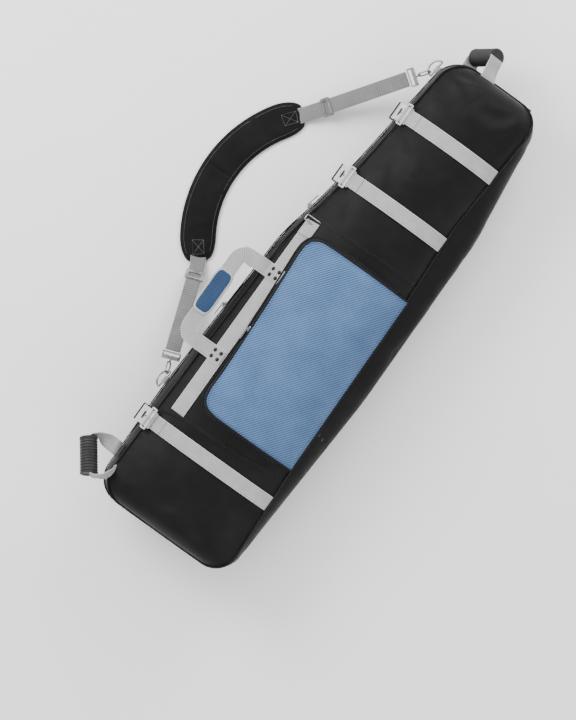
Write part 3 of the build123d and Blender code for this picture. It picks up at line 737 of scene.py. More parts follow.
def finish_set() -> dict[str, object]:
    """Every finish of the case, by a short name."""
    finishes = {
        "black": Cloth("black_polyester", "black_fabric", (0.0025, 0.0025, 0.003), (0.011, 0.011, 0.012),
                       Weave.OXFORD,
                       1.3, 0.55, 0.05),
        "gusset": Cloth("black_gusset", "black_fabric", (0.0020, 0.0020, 0.0025), (0.008, 0.008, 0.009),
                        Weave.OXFORD,
                        1.3, 0.6, 0.03),
        "pad": Cloth("black_brushed", "black_fabric", (0.0025, 0.0025, 0.003), (0.010, 0.010, 0.011),
                     Weave.PLAIN,
                     1.5, 0.75, 0.06, 0.0002),
        "trim": Cloth("black_binding", "black_trim", (0.004, 0.004, 0.0045), (0.016, 0.016, 0.017),
                      Weave.PLAIN,
                      1.0, 0.5, 0.04, 0.00025),
        "blue": Cloth("blue_twill", "blue_fabric", (0.026, 0.062, 0.140), (0.100, 0.180, 0.340), Weave.TWILL,
                      2.5, 0.7, 0.06, 0.0004, 0.6),
        "blue_grip": Cloth("blue_grip_cloth", "blue_grip", (0.009, 0.024, 0.062), (0.036, 0.072, 0.150),
                           Weave.TWILL,
                           2.0, 0.7, 0.06, 0.0004, 0.55),
        "webbing": Webbing("light_webbing", "grey_webbing", (0.170, 0.170, 0.174), (0.520, 0.520, 0.530),
                           38.0,
                           pitch=3.6),
        "grab_webbing": Webbing("grab_webbing", "grey_webbing", (0.160, 0.160, 0.164),
                                (0.500, 0.500, 0.510), 38.0,
                                pitch=3.6),
        "strap_webbing": Webbing("strap_webbing", "strap_webbing", (0.055, 0.056, 0.058),
                                 (0.290, 0.292, 0.295), 38.0,
                                 True, 5.0),
        "light_edge": Cloth("light_binding", "grey_webbing", (0.300, 0.300, 0.310), (0.560, 0.560, 0.570),
                            Weave.PLAIN, 1.2, 0.7, 0.2, 0.0002),
        "thread_light": Moulding("light_thread", "grey_webbing", (0.36, 0.36, 0.36), (0.62, 0.62, 0.62),
                                 0.7, 0.5),
        "thread_grey": Moulding("grey_thread", "strap_webbing", (0.12, 0.12, 0.12), (0.25, 0.25, 0.25), 0.7,
                                0.5),
        "thread_black": Moulding("black_thread", "black_trim", (0.012, 0.012, 0.012), (0.035, 0.035, 0.035),
                                 0.6, 0.5),
        "lining": Quilt("quilted_lining", "foam_lining", (0.012, 0.013, 0.015), (0.045, 0.047, 0.052)),
        "board": Moulding("board_plastic", "board_plastic", (0.015, 0.015, 0.016), (0.035, 0.035, 0.037),
                          0.55, 2.5,
                          0.0003),
        "black_plastic": Moulding("black_plastic", "black_plastic", (0.007, 0.007, 0.008),
                                  (0.020, 0.020, 0.022), 0.4,
                                  0.8, 0.0001),
        "grey_plastic": Moulding("grey_plastic", "grey_plastic", (0.36, 0.36, 0.37), (0.60, 0.60, 0.61),
                                 0.38, 0.9,
                                 0.00006, 0.0, 0.15),
        "rubber": Moulding("grip_rubber", "grip_rubber", (0.010, 0.010, 0.010), (0.032, 0.032, 0.032), 0.5,
                           0.7,
                           0.00012),
        "tyre": Moulding("wheel_tyre", "wheel_tyre", (0.010, 0.010, 0.010), (0.030, 0.030, 0.030), 0.65,
                         0.9, 0.0002),
        "hub": Moulding("wheel_hub", "wheel_hub", (0.10, 0.10, 0.105), (0.20, 0.20, 0.21), 0.45, 1.0),
        "steel": Moulding("axle_steel", "steel", (0.42, 0.42, 0.43), (0.62, 0.62, 0.63), 0.3, 0.6, 0.00003,
                          1.0, 0.0,
                          True),
        "silver": Moulding("nickel_plate", "silver_metal", (0.10, 0.10, 0.105), (0.40, 0.40, 0.41), 0.24,
                           1.5, 0.00003,
                           1.0),
        "rivet": Moulding("black_rivet", "black_rivet", (0.006, 0.006, 0.007), (0.022, 0.022, 0.024), 0.3,
                          0.8,
                          0.00004, 0.4),
        "teeth": Moulding("zipper_teeth", "black_trim", (0.010, 0.010, 0.011), (0.030, 0.030, 0.032), 0.35,
                          0.6),
    }
    return finishes


@dataclass
class Workshop:
    """Makes each finish once, and dresses, mounts and reports every piece."""

    frame: dict
    finishes: dict[str, object] = field(default_factory=finish_set)
    made: dict[str, bpy.types.Material] = field(default_factory=dict)

    def material(self, finish: str) -> bpy.types.Material:
        """The material of a finish, made the first time it is asked for."""
        if finish not in self.made:
            self.made[finish] = self.finishes[finish].material()
        return self.made[finish]

    def mount(self, piece: bpy.types.Object, finish: str, body: str,
              stands_for: Sequence[str] = ()) -> bpy.types.Object:
        """Dress a new piece and let it ride on a body.

        Args:
            piece: The new piece.
            finish: Short name of its finish.
            body: Body that it moves with.
            stands_for: Frame nodes that it replaces.

        Returns:
            The piece.
        """
        self.dress(piece, finish)
        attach(piece, body)
        if stands_for:
            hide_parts(*stands_for)
        LOG.info("%s: %s on %s", piece.name, finish, body)
        return piece

    def dress(self, piece: bpy.types.Object, finish: str) -> None:
        """Give a piece its finish."""
        piece.data.materials.clear()
        piece.data.materials.append(self.material(finish))

    def keep(self, node: str, finish: str) -> None:
        """Give a frame node that stays in view its finish."""
        piece = self.frame["nodes"][node]
        material = self.material(finish)
        if piece.data.materials:
            for k in range(len(piece.data.materials)):
                piece.data.materials[k] = material
        else:
            piece.data.materials.append(material)
        LOG.info("%s: %s", node, finish)


def thicken(piece: bpy.types.Object, wall: float, outside: bool = False) -> None:
    """Give a surface a wall, inwards from its face or outwards."""
    solid = piece.modifiers.new("wall", "SOLIDIFY")
    solid.thickness = wall * MM
    solid.offset = 1.0 if outside else -1.0
    solid.use_even_offset = False


# ---------------------------------------------------------------- shape of the stuffed case
Profile = tuple[tuple[float, float], ...]


@dataclass(frozen=True)
class CaseForm:
    """Cross-sections of the stuffed case, the same as the frame's, worked out for whole arrays of places."""

    length: float = 1350.0
    width: float = 416.0
    end_radius: float = 62.0
    end_lift: float = 52.0
    end_drop: float = 28.0
    zip_height: float = 165.0
    seam_height: float = 212.0
    crown: float = 50.0
    corner: float = 75.0
    left_side: Profile = ((-1.0, 0.510), (-0.56, 0.519), (0.13, 0.474), (0.30, 0.413), (0.50, 0.361),
                          (1.0, 0.269))
    right_side: Profile = ((-1.0, 0.413), (-0.20, 0.481), (0.50, 0.471), (1.0, 0.370))
    left_seam: Profile = ((-1.0, 0.481), (-0.56, 0.466), (0.13, 0.438), (0.30, 0.385), (0.50, 0.327),
                          (1.0, 0.245))
    right_seam: Profile = ((-1.0, 0.404), (-0.56, 0.365), (0.13, 0.344), (0.50, 0.315), (1.0, 0.365))
    rise: Profile = ((-1.0, 0.55), (-0.40, 0.95), (0.13, 1.0), (0.70, 1.0), (1.0, 0.60))
    softening: float = 0.045

    def read(self, profile: Profile, place: Array) -> Array:
        """An outline's value along the case: straight between its points, averaged over a short stretch."""
        share = 2 * np.asarray(place, float) / self.length
        low, high = zip(*profile)
        shifts = np.linspace(-self.softening, self.softening, 5)
        return np.mean([np.interp(share + s, low, high) for s in shifts], axis=0)

    def stations(self, step: float) -> tuple[Array, Array]:
        """Places of cross-sections from end to end, with the turn of the end's rounding at each.

        Args:
            step: Distance between cross-sections, about.

        Returns:
            Places along the case, and angles in radians.
        """
        straight = self.length / 2 - self.end_radius
        turns = np.radians(np.linspace(90, 0, max(5, int(self.end_radius * 1.57 / step)) + 1))
        middle = np.linspace(-straight, straight, int(2 * straight / step))[1:-1]
        ends = straight + self.end_radius * np.sin(turns)
        places = np.concatenate([-ends, middle, ends[::-1]])
        return places, np.concatenate([turns, np.zeros(len(middle)), turns[::-1]])

    def section(self, place: Array, angle: Array, grow: float) -> dict[str, Array]:
        """Key points of cross-sections.

        Args:
            place: Places along the case.
            angle: Turn of the end's rounding at each.
            grow: Distance outside the cloth.

        Returns:
            Sides, seams, corner, back, seam height and the front's control height, by name, and the place
            moved out.
        """
        turn = np.cos(angle)
        inset = self.end_radius - (self.end_radius + grow) * turn
        seam = self.seam_height - self.end_drop + (self.end_drop + grow / 2) * turn
        swell = self.crown * self.read(self.rise, place) * (0.2 + 0.8 * turn) + grow / 2 * turn
        return {
            "x": place + np.sign(place) * grow * np.sin(angle),
            "left": self.width * self.read(self.left_side, place) - inset,
            "right": self.width * self.read(self.right_side, place) - inset,
            "seam_l": self.width * self.read(self.left_seam, place) - inset,
            "seam_r": self.width * self.read(self.right_seam, place) - inset,
            "corner": self.corner * (0.3 + 0.7 * turn),
            "back": self.end_lift - (self.end_lift + grow) * turn,
            "seam": seam,
            "top": seam + swell / 0.75,
        }

    @staticmethod
    def curve(points: Sequence[tuple[Array, Array]], t: Array) -> Array:
        """Bezier curves, one for each cross-section.

        Args:
            points: Three or four control points as (y, z) arrays over the cross-sections.
            t: Places along the curve from 0 to 1.

        Returns:
            Points, as (cross-section, t, y and z).
        """
        weights = {
            2: ((1 - t), t),
            3: ((1 - t) ** 2, 2 * t * (1 - t), t**2),
            4: ((1 - t) ** 3, 3 * t * (1 - t) ** 2, 3 * t**2 * (1 - t), t**3),
        }[len(points)]
        parts = [np.stack([y, z], axis=-1)[:, None, :] * w[None, :, None] for (y, z),
                 w in zip(points, weights)]
        return np.sum(parts, axis=0)

    def front_curve(self, s: dict[str, Array], t: Array) -> Array:
        """The front panel's curve from the zipper side's seam to the hinge side's."""
        points = [(s["seam_l"], s["seam"]), (0.6 * s["seam_l"], s["top"]), (-0.6 * s["seam_r"], s["top"]),
                  (-s["seam_r"], s["seam"])]
        return self.curve(points, t)

    def gusset_curve(self, s: dict[str, Array], t: Array, side: int) -> Array:
        """The cover's gusset from the zipper line up to the seam; side is 1 for the zipper side, -1 for
        the hinge."""
        edge, seam = (s["left"], s["seam_l"]) if side > 0 else (s["right"], s["seam_r"])
        flat = np.full_like(edge, self.zip_height)
        high = self.zip_height + 0.6 * (s["seam"] - self.zip_height)
        return self.curve([(side * edge, flat), (side * edge, high), (side * seam, s["seam"])], t)

    def back_curve(self, s: dict[str, Array], t: Array) -> Array:
        """The back half from the zipper line round the back panel to the hinge line, in three stretches of
        t."""
        flat = np.full_like(s["left"], self.zip_height)
        low = s["back"] + 0.45 * (self.zip_height - s["back"])
        parts = []
        for side, edge in ((1, s["left"]), (-1, s["right"])):
            points = [(side * edge, flat), (side * edge, low),
                      (side * (edge - 0.35 * s["corner"]), s["back"]),
                      (side * (edge - s["corner"]), s["back"])]
            parts.append(self.curve(points, t))
        floor = self.curve([(s["left"] - s["corner"], s["back"]), (s["corner"] - s["right"], s["back"])], t)
        return np.concatenate([parts[0], floor[:, 1:-1], parts[1][:, ::-1]], axis=1)

    def front_point(self, x: Array, y: Array, grow: float = 0.0) -> Array:
        """Points of the front panel over places seen from the front.

        Args:
            x: Places along the case.
            y: Places across it.
            grow: Distance outside the cloth.

        Returns:
            Points: the curve at each x is sampled, and its height is read off at y, straight between samples.
        """
        x, y = np.broadcast_arrays(np.asarray(x, float), np.asarray(y, float))
        shape = x.shape
        x, y = x.ravel(), y.ravel()
        t = np.linspace(0, 1, 121)
        straight = self.length / 2 - self.end_radius
        angle = np.arcsin(np.clip((np.abs(x) - straight) / (self.end_radius + max(grow, 0.0)), 0, 1))
        curve = self.front_curve(self.section(x, angle, grow), t)
        after = np.clip((curve[:, :, 0] > y[:, None]).sum(axis=1), 1, len(t) - 1)
        row = np.arange(len(x))
        y0, y1 = curve[row, after - 1, 0], curve[row, after, 0]
        z0, z1 = curve[row, after - 1, 1], curve[row, after, 1]
        z = z0 + (z1 - z0) * np.clip((y - y0) / np.minimum(y1 - y0, -1e-6), 0, 1)
        return np.stack([x, y, z], axis=1).reshape(*shape, 3)

    def rim(self, grow: float, height: float, step: float = 6.0, hinge_end: float | None = None) -> Array:
        """The zipper line: across one end, along the zipper side and across the other end.

        Args:
            grow: Distance outside the cloth.
            height: Height above the back panel.
            step: Distance between cross-sections.
            hinge_end: Where the line starts and stops on the ends; the whole end if it isn't given.

        Returns:
            Points along the line.
        """
        place, angle = self.stations(step)
        s = self.section(place, angle, grow)
        left = np.stack([s["x"], s["left"], np.full_like(place, height)], axis=1)
        if hinge_end is None:
            right = np.stack([s["x"], -s["right"], np.full_like(place, height)], axis=1)
            return np.vstack([left, right[::-1]])
        count = int((left[0, 1] - hinge_end) / step)
        ends = [np.linspace([row[0], hinge_end, height], row, count, endpoint=False) for row in (left[0],
            left[-1])]
        return np.vstack([ends[0], left, ends[1][::-1]])

    def seam_line(self, grow: float, step: float = 6.0) -> Array:
        """The seam round the front panel as a closed path: zipper side first, then back along the hinge
        side."""
        place, angle = self.stations(step)
        s = self.section(place, angle, grow)
        left = np.stack([s["x"], s["seam_l"], s["seam"] + grow / 2], axis=1)
        right = np.stack([s["x"], -s["seam_r"], s["seam"] + grow / 2], axis=1)
        ends = [
            self.curve([(a[1:2], a[2:3]), ((0.6 * a[1:2]), t), (0.6 * b[1:2], t), (b[1:2], b[2:3])],
                       np.linspace(0, 1, 30))
            for a, b, t in ((left[-1], right[-1], s["top"][-1:]), (right[0], left[0], s["top"][:1]))
        ]
        rows = [np.column_stack([np.full(28, x), end[0, 1:-1]]) for x,
                end in ((left[-1, 0], ends[0]), (left[0, 0], ends[1]))]
        return np.vstack([left, rows[0], right[::-1], rows[1]])


@dataclass(frozen=True)
class Folds:
    """Creases and swellings of the cloth.

    Each fold runs from start to end; its height is depth times a bell across it, times a bell that fades
    at both
    ends, and it is steeper on one side.
    """

    starts: Array
    ends: Array
    widths: Array
    depths: Array

    @classmethod
    def of(cls, rows: Sequence[tuple[float, ...]]) -> "Folds":
        """Folds from rows of start, end, width and depth."""
        table = np.asarray(rows, float)
        return cls(table[:, 0:2], table[:, 2:4], table[:, 4], table[:, 5])

    @classmethod
    def scattered(cls, seed: int, count: int, span: Sequence[float], angle: float, spread: float,
                  size: tuple[float, float], depth: float) -> "Folds":
        """Many small folds at seeded random places.

        Args:
            seed: Seed of the random numbers.
            count: Number of folds.
            span: Lowest and highest first coordinate, then second.
            angle: Main direction, in degrees.
            spread: Standard deviation of the direction, in degrees.
            size: Shortest and longest fold.
            depth: Typical height, up or down.

        Returns:
            The folds.
        """
        draw = np.random.default_rng(seed)
        middle = np.stack([draw.uniform(span[0], span[1], count), draw.uniform(span[2], span[3], count)],
                          axis=1)
        turn = np.radians(draw.normal(angle, spread, count))
        reach = draw.uniform(*size, count)[:, None] / 2
        way = np.stack([np.cos(turn), np.sin(turn)], axis=1) * reach
        depths = draw.normal(0, depth, count)
        return cls(middle - way, middle + way, reach[:, 0] * draw.uniform(0.16, 0.34, count), depths)

    def height(self, u: Array, v: Array) -> Array:
        """Height of all folds together at each place.

        Args:
            u: First coordinate of each place.
            v: Second coordinate.

        Returns:
            Heights with the shape of u.
        """
        place = np.stack([u.ravel(), v.ravel()], axis=1)
        total = np.zeros(len(place))
        for start, end, width, depth in zip(self.starts, self.ends, self.widths, self.depths):
            way = end - start
            reach = np.hypot(*way)
            way = way / reach
            away = place - start
            share = (away @ way) / reach
            aside = away @ np.array([-way[1], way[0]])
            near = (share > -0.2) & (share < 1.2) & (np.abs(aside) < 3.5 * width)
            fade = np.clip(1 - (2 * share[near] - 1) ** 2, 0, 1) ** 0.7
            lean = aside[near] / width
            total[near] += depth * fade * np.exp(-0.5 * (lean - 0.25 * np.abs(lean)) ** 2)
        return total.reshape(u.shape)


@dataclass
class Shells:
    """The two sewn halves of the case, their linings, and the piping round the front panel."""

    form: CaseForm
    shop: Workshop
    strap_places: tuple[float, ...] = (-465.0, 285.0, 488.0)
    wall: float = 2.6
    lining_wall: float = 5.0
    half_gap: float = 0.4
    housing_reach: float = 158.4
    housing_height: float = 78.4
    housing_inner: float = 61.6
    wheel_middle: float = 20.0
    piping_radius: float = 2.3

    def grid(self, curve: Array, x: Array, sign: float, cap_rows: int) -> Array:
        """Rows of points from end to end, with the ends closed down to the zipper line.

        Args:
            curve: Outline of each cross-section, as (row, column, y and z).
            x: Place of each cross-section.
            sign: 1 for the cover, -1 for the back half.
            cap_rows: Rows in each end panel.

        Returns:
            Points, as (row, column, x y z): an end panel's rows go straight from the zipper line to the
            outline, and
            swell outwards in the middle.
        """
        points = np.concatenate([np.broadcast_to(x[:, None, None], (*curve.shape[:2], 1)), curve], axis=2)
        zipper = self.form.zip_height + sign * self.half_gap
        points[:, :, 2] = np.maximum(points[:, :, 2], zipper) if sign > 0 else np.minimum(points[:, :, 2],
            zipper)
        share = np.linspace(0, 1, cap_rows, endpoint=False)[:, None]
        caps = []
        for edge, way in ((points[0], -1), (points[-1], 1)):
            cap = np.repeat(edge[None], cap_rows, axis=0)
            cap[:, :, 2] = zipper + (edge[None, :, 2] - zipper) * share
            deep = np.abs(edge[:, 2] - zipper) / np.abs(edge[:, 2] - zipper).max()
            cap[:, :, 0] += way * 4.0 * np.sin(np.pi * share) * deep[None]
            caps.append(cap)
        return np.concatenate([caps[0], points, caps[1][::-1]], axis=0)

    def surface(self, points: Array) -> Surface:
        """A grid as a surface that looks away from the case's middle, with distances along it as cloth
        positions."""
        rows, columns = points.shape[:2]
        down = np.linalg.norm(np.diff(points, axis=0), axis=2)
        over = np.linalg.norm(np.diff(points, axis=1), axis=2)
        u = np.vstack([np.zeros(columns),
                       np.cumsum(np.repeat(down.mean(axis=1)[:, None], columns, axis=1), axis=0)])
        v = np.hstack([np.zeros((rows, 1)), np.cumsum(over, axis=1)])
        v -= v[:, [columns // 2]]
        cloth = np.stack([u, v], axis=-1).reshape(-1, 2)
        whole = Surface(points.reshape(-1, 3), [grid_quads(rows, columns)], cloth)
        middle = np.array([0.0, 0.0, self.form.zip_height])
        return whole.facing(lambda at: (at - middle) * np.array([0.2, 1.0, 1.0]))

    @staticmethod
    def normals(points: Array) -> Array:
        """Unit normals of a grid, from its differences along both directions, turned away from the middle."""
        normal = unit(np.cross(np.gradient(points, axis=0), np.gradient(points, axis=1)))
        middle = np.array([0.0, 0.0, 150.0])
        toward = ((points - middle) * np.array([0.2, 1.0, 1.0]) * normal).sum(axis=2, keepdims=True)
        return np.where(toward < 0, -normal, normal)

    def front_relief(self, points: Array, seam_share: Array) -> Array:
        """Height of the cover's cloth above its plain shape.

        The cloth swells between the compression straps and is drawn in under them, puckers along the
        seams, and
        creases from the top corners, under the pocket and beside the straps.

        Args:
            points: Grid of points.
            seam_share: For each column, 0 in the gussets and from 0 to 1 across the front panel.

        Returns:
            Height of each point.
        """
        x, y, z = points[..., 0], points[..., 1], points[..., 2]
        front = np.clip(np.sin(np.pi * seam_share), 0, 1)[None, :]
        drawn = np.sum([np.exp(-0.5 * ((x - place) / 30.0) ** 2) for place in self.strap_places], axis=0)
        swell = 4.5 * np.exp(-0.5 * ((x - 386.0) / 45.0) ** 2) + 3.5 * np.exp(-0.5 * ((x
            - 570.0) / 40.0) ** 2)
        swell += 3.0 * np.exp(-0.5 * ((x + 560.0) / 40.0) ** 2) + 2.0 * np.exp(-0.5 * ((x
            - 205.0) / 30.0) ** 2)
        height = (swell - 2.6 * drawn) * front**0.5
        main = Folds.of([
            (652, -128, 560, -60, 15, 4.5), (655, -126, 590, -10, 12, -3.5), (650, -134, 520, -118, 13, 4.0),
            (648, -132, 540, -95, 9, -3.2), (652, -120, 615, -30, 9, 3.0), (645, -135, 480, -138, 8, -2.6),
            (640, -120, 575, -84, 8, 2.6), (640, 92, 652, 20, 11, -4.5), (625, 84, 600, 10, 14, 3.5),
            (632, 100, 560, 70, 11, -3.0), (640, 60, 650, -60, 12, 3.0), (560, 110, 500, 20, 17, 2.2),
            (505, 90, 460, 10, 14, 2.6), (470, 110, 420, 60, 10, -2.4), (515, 60, 555, -40, 15, -2.0),
            (475, -20, 420, -110, 14, -2.2), (455, 40, 350, 10, 16, 2.4), (430, -40, 330, -95, 15, 2.6),
            (400, 95, 310, 40, 12, -2.4), (345, 105, 305, 60, 10, 2.4), (330, -20, 300, -110, 10, -2.0),
            (370, 70, 390, -90, 24, 2.2), (265, 120, 180, 90, 10, -2.2), (262, 60, 200, -60, 14, 2.0),
            (255, -60, 180, -120, 10, 2.2), (235, 10, 150, -20, 12, -1.8), (590, -100, 500, -60, 14, -2.2),
            (-440, 120, -405, 40, 10, 1.8), (-488, 150, -560, 90, 16, 2.6), (-492, 60, -600, 20, 20, 2.2),
            (-495, -60, -590, -110, 16, 2.4), (-640, 120, -600, 20, 15, -2.6),
            (-650, -120, -560, -80, 13, 3.2),
            (-648, -128, -600, -40, 11, -2.8), (-645, -60, -652, 90, 13, 2.4), (-560, 150, -640, 60, 13, 2.2),
            (-650, -130, -500, -140, 9, 2.6), (-500, 0, -540, 60, 15, -1.8), (-430, -60, -400, -120, 9, 1.6),
        ])
        fine = Folds.scattered(11, 150, (-650, 650, -150, 190), 75.0, 38.0, (40.0, 120.0), 1.0)
        height += (main.height(x, y) + fine.height(x, y)) * (1 - 0.8 * np.clip(drawn, 0, 1)) * front**0.4
        along_seam = np.minimum(seam_share, 1 - seam_share)[None, :] * 330.0
        pucker = np.sin(x / 4.6 + 1.3 * np.sin(x / 37.0)) + 0.6 * np.sin(x / 2.9 + 2.0 * np.sin(x / 53.0))
        height += 0.55 * pucker * np.exp(-along_seam / 13.0) * (along_seam > 1.0)
        side = (seam_share == 0)[None, :]
        gusset = Folds.scattered(23, 90, (-650, 650, 165, 215), 80.0, 30.0, (60.0, 120.0), 0.8)
        hinge = Folds.scattered(29, 90, (-650, 650, 165, 215), 70.0, 35.0, (60.0, 120.0), 0.7)
        sides = np.where(y > 0, gusset.height(x, z), hinge.height(x, z))
        height = np.where(side, sides * np.clip((z - 168) / 12, 0, 1), height)
        quiet = np.clip((self.form.length / 2 - np.abs(x)) / 30.0, 0.25, 1.0)
        return height * quiet

    def cover(self) -> None:
        """The front half: gussets, front panel and end panels in one sewn shell, and its lining."""
        place, angle = self.form.stations(4.2)
        for name, grow, side_t, front_t in (("front_shell_cloth", 0.0, 18, 88),
                                            ("front_lining", -8.4, 6, 30)):
            if grow < 0:
                place, angle = self.form.stations(11.0)
            s = self.form.section(place, angle, grow)
            t_side, t_front = np.linspace(0, 1, side_t), np.linspace(0, 1, front_t)
            left = self.form.gusset_curve(s, t_side, 1)
            front = self.form.front_curve(s, t_front)
            right = self.form.gusset_curve(s, t_side, -1)
            curve = np.concatenate([left, front[:, 1:-1], right[:, ::-1]], axis=1)
            points = self.grid(curve, s["x"], 1.0, 9 if grow == 0 else 4)
            share = np.concatenate([np.zeros(side_t), t_front[1:-1], np.zeros(side_t)])
            if grow == 0:
                points = points + self.normals(points) * self.front_relief(points, share)[..., None]
                points[..., 2] = np.maximum(points[..., 2], self.form.zip_height + self.half_gap)
            piece = self.surface(points).build(name, weld=True)
            if grow == 0:
                thicken(piece, self.wall)
                self.shop.mount(piece, "black", "front_cover", ["front_shell"])
            else:
                thicken(piece, self.lining_wall, outside=True)
                self.shop.mount(piece, "lining", "front_cover", ["front_padding"])

    def back(self) -> None:
        """The back half, open at the two wheel housings, and its lining."""
        for name, grow, step, columns in (("back_shell_cloth", 0.0, 6.5, 30),
                                          ("back_lining", -8.4, 12.0, 16)):
            place, angle = self.form.stations(step)
            s = self.form.section(place, angle, grow)
            curve = self.form.back_curve(s, np.linspace(0, 1, columns))
            points = self.grid(curve, s["x"], -1.0, 12 if grow == 0 else 5)
            if grow == 0:
                x, y, z = points[..., 0], points[..., 1], points[..., 2]
                left = Folds.scattered(31, 120, (-640, 640, 10, 160), 60.0, 40.0, (70.0, 130.0), 1.2)
                right = Folds.scattered(37, 120, (-640, 640, 10, 160), 120.0, 40.0, (70.0, 130.0), 1.2)
                under = Folds.scattered(41, 120, (-600, 600, -150, 150), 90.0, 50.0, (50.0, 150.0), 0.5)
                sides = np.where(y > 0, left.height(x, z), right.height(x, z))
                relief = np.where(z > 12, sides * np.clip((158 - z) / 14, 0, 1),
                                  np.minimum(under.height(x, y), 0))
                quiet = np.clip((self.form.length / 2 - self.housing_reach - np.abs(x)) / 25 + 1, 0.0, 1.0)
                points = points + self.normals(points) * (relief * quiet)[..., None]
                points[..., 2] = np.minimum(points[..., 2], self.form.zip_height - self.half_gap)
                points[..., 2] = np.maximum(points[..., 2], 0.0)
            piece = self.surface(points).build(name, weld=True)
            self.cut_housings(piece)
            if grow == 0:
                thicken(piece, self.wall)
                self.shop.mount(piece, "gusset", "case_base", ["back_shell"])
            else:
                thicken(piece, self.lining_wall, outside=True)
                self.shop.mount(piece, "lining", "case_base", ["back_padding"])

    def cut_housings(self, piece: bpy.types.Object) -> None:
        """Cut a mesh clean round the two wheel housings and take the corners out.

        Args:
            piece: The mesh to cut.
        """
        end = -self.form.length / 2 + self.housing_reach
        edges = (self.wheel_middle + self.housing_inner, self.wheel_middle - self.housing_inner)
        planes = [((end, 0, 0), (1, 0, 0)), ((0, 0, self.housing_height), (0, 0, 1))]
        planes += [((0, edge, 0), (0, 1, 0)) for edge in edges]
        work = bmesh.new()
        work.from_mesh(piece.data)
        for origin, normal in planes:
            parts = work.verts[:] + work.edges[:] + work.faces[:]
            bmesh.ops.bisect_plane(work, geom=parts, plane_co=np.array(origin) * MM, plane_no=normal,
                                   dist=1e-5)
        low_x, low_z = end * MM, self.housing_height * MM
        inside = [
            face for face, middle in ((f, f.calc_center_median()) for f in work.faces)
            if middle.x < low_x and middle.z < low_z and not edges[1] * MM < middle.y < edges[0] * MM
        ]
        bmesh.ops.delete(work, geom=inside, context="FACES")
        work.to_mesh(piece.data)
        work.free()

    def piping(self) -> None:
        """Piping round the front panel: a round cord along the seam line."""
        path = evenly(self.form.seam_line(self.piping_radius - 0.6), 5.0, closed=True)
        ahead = unit(np.roll(path, -1, axis=0) - np.roll(path, 1, axis=0))
        middle = np.array([0.0, 0.0, 120.0])
        away = (path - middle) * np.array([0.35, 1.0, 0.8])
        lean = unit(away - (away * ahead).sum(axis=1, keepdims=True) * ahead)
        cord = tube(path, lean, self.piping_radius, closed=True)
        piece = cord.build("front_piping_cord", weld=False)
        self.shop.mount(piece, "trim", "front_cover", ["front_piping"])

    def seams(self) -> None:
        """Raised seams across the front panel, with a line of stitches each side."""
        lines = {
            "lower_cross_seam": [(-430, 186), (-424, 160), (-416, 131), (-411, -30), (-404, -95),
                                 (-397, -134)],
            "upper_cross_seam": [(164, 170), (163.5, 139), (163.8, 89), (166, 0), (168, -80), (170, -132)],
        }
        for name, plan in lines.items():
            flat = rounded(np.column_stack([np.asarray(plan, float), np.zeros(len(plan))]), 5.0, 60.0)
            path = self.form.front_point(flat[:, 0], flat[:, 1], 1.1)
            lean = np.array([0.0, 0.0, 1.0])
            welt = strap(path, lean, 9.0, 1.0)
            self.shop.mount(welt.build(name), "black", "front_cover")
            rows = [stitches(path + np.array([side * 3.0, 0, 0.5]), lean, 3.4, 0.35) for side in (-1.0, 1.0)]
            self.shop.mount(join(rows).build(name + "_stitches"), "thread_black", "front_cover")

    def build(self) -> None:
        """Build and mount every piece of the two shells."""
        self.cover()
        self.back()
        self.piping()
        self.seams()


# ---------------------------------------------------------------- webbing, buckles and handles on the cover
UP = np.array([0.0, 0.0, 1.0])
ALONG = np.array([1.0, 0.0, 0.0])


def domes(places: Array, radius: float, height: float) -> Surface:
    """Low round heads standing on places: rings of a quarter circle, from below the foot up to the top.

    Args:
        places: Foot of each head.
        radius: Radius of a head.
        height: Height of a head.

    Returns:
        All heads in one surface.
    """
    rise = np.radians([0.0, 0.0, 25.0, 50.0, 70.0, 89.0])
    girth, lift = radius * np.cos(rise), height * np.sin(rise)
    lift[0] = -height
    turn = np.linspace(0, 2 * np.pi, 18, endpoint=False)
    ring = np.stack([np.cos(turn), np.sin(turn)], axis=1)
    plan = girth[:, None, None] * ring[None]
    head = np.concatenate([plan, np.broadcast_to(lift[:, None, None], (6, 18, 1))], axis=2).reshape(-1, 3)
    return join([Surface(head + place, [grid_quads(6, 18, True)], head[:, :2]).outward() for place in places])


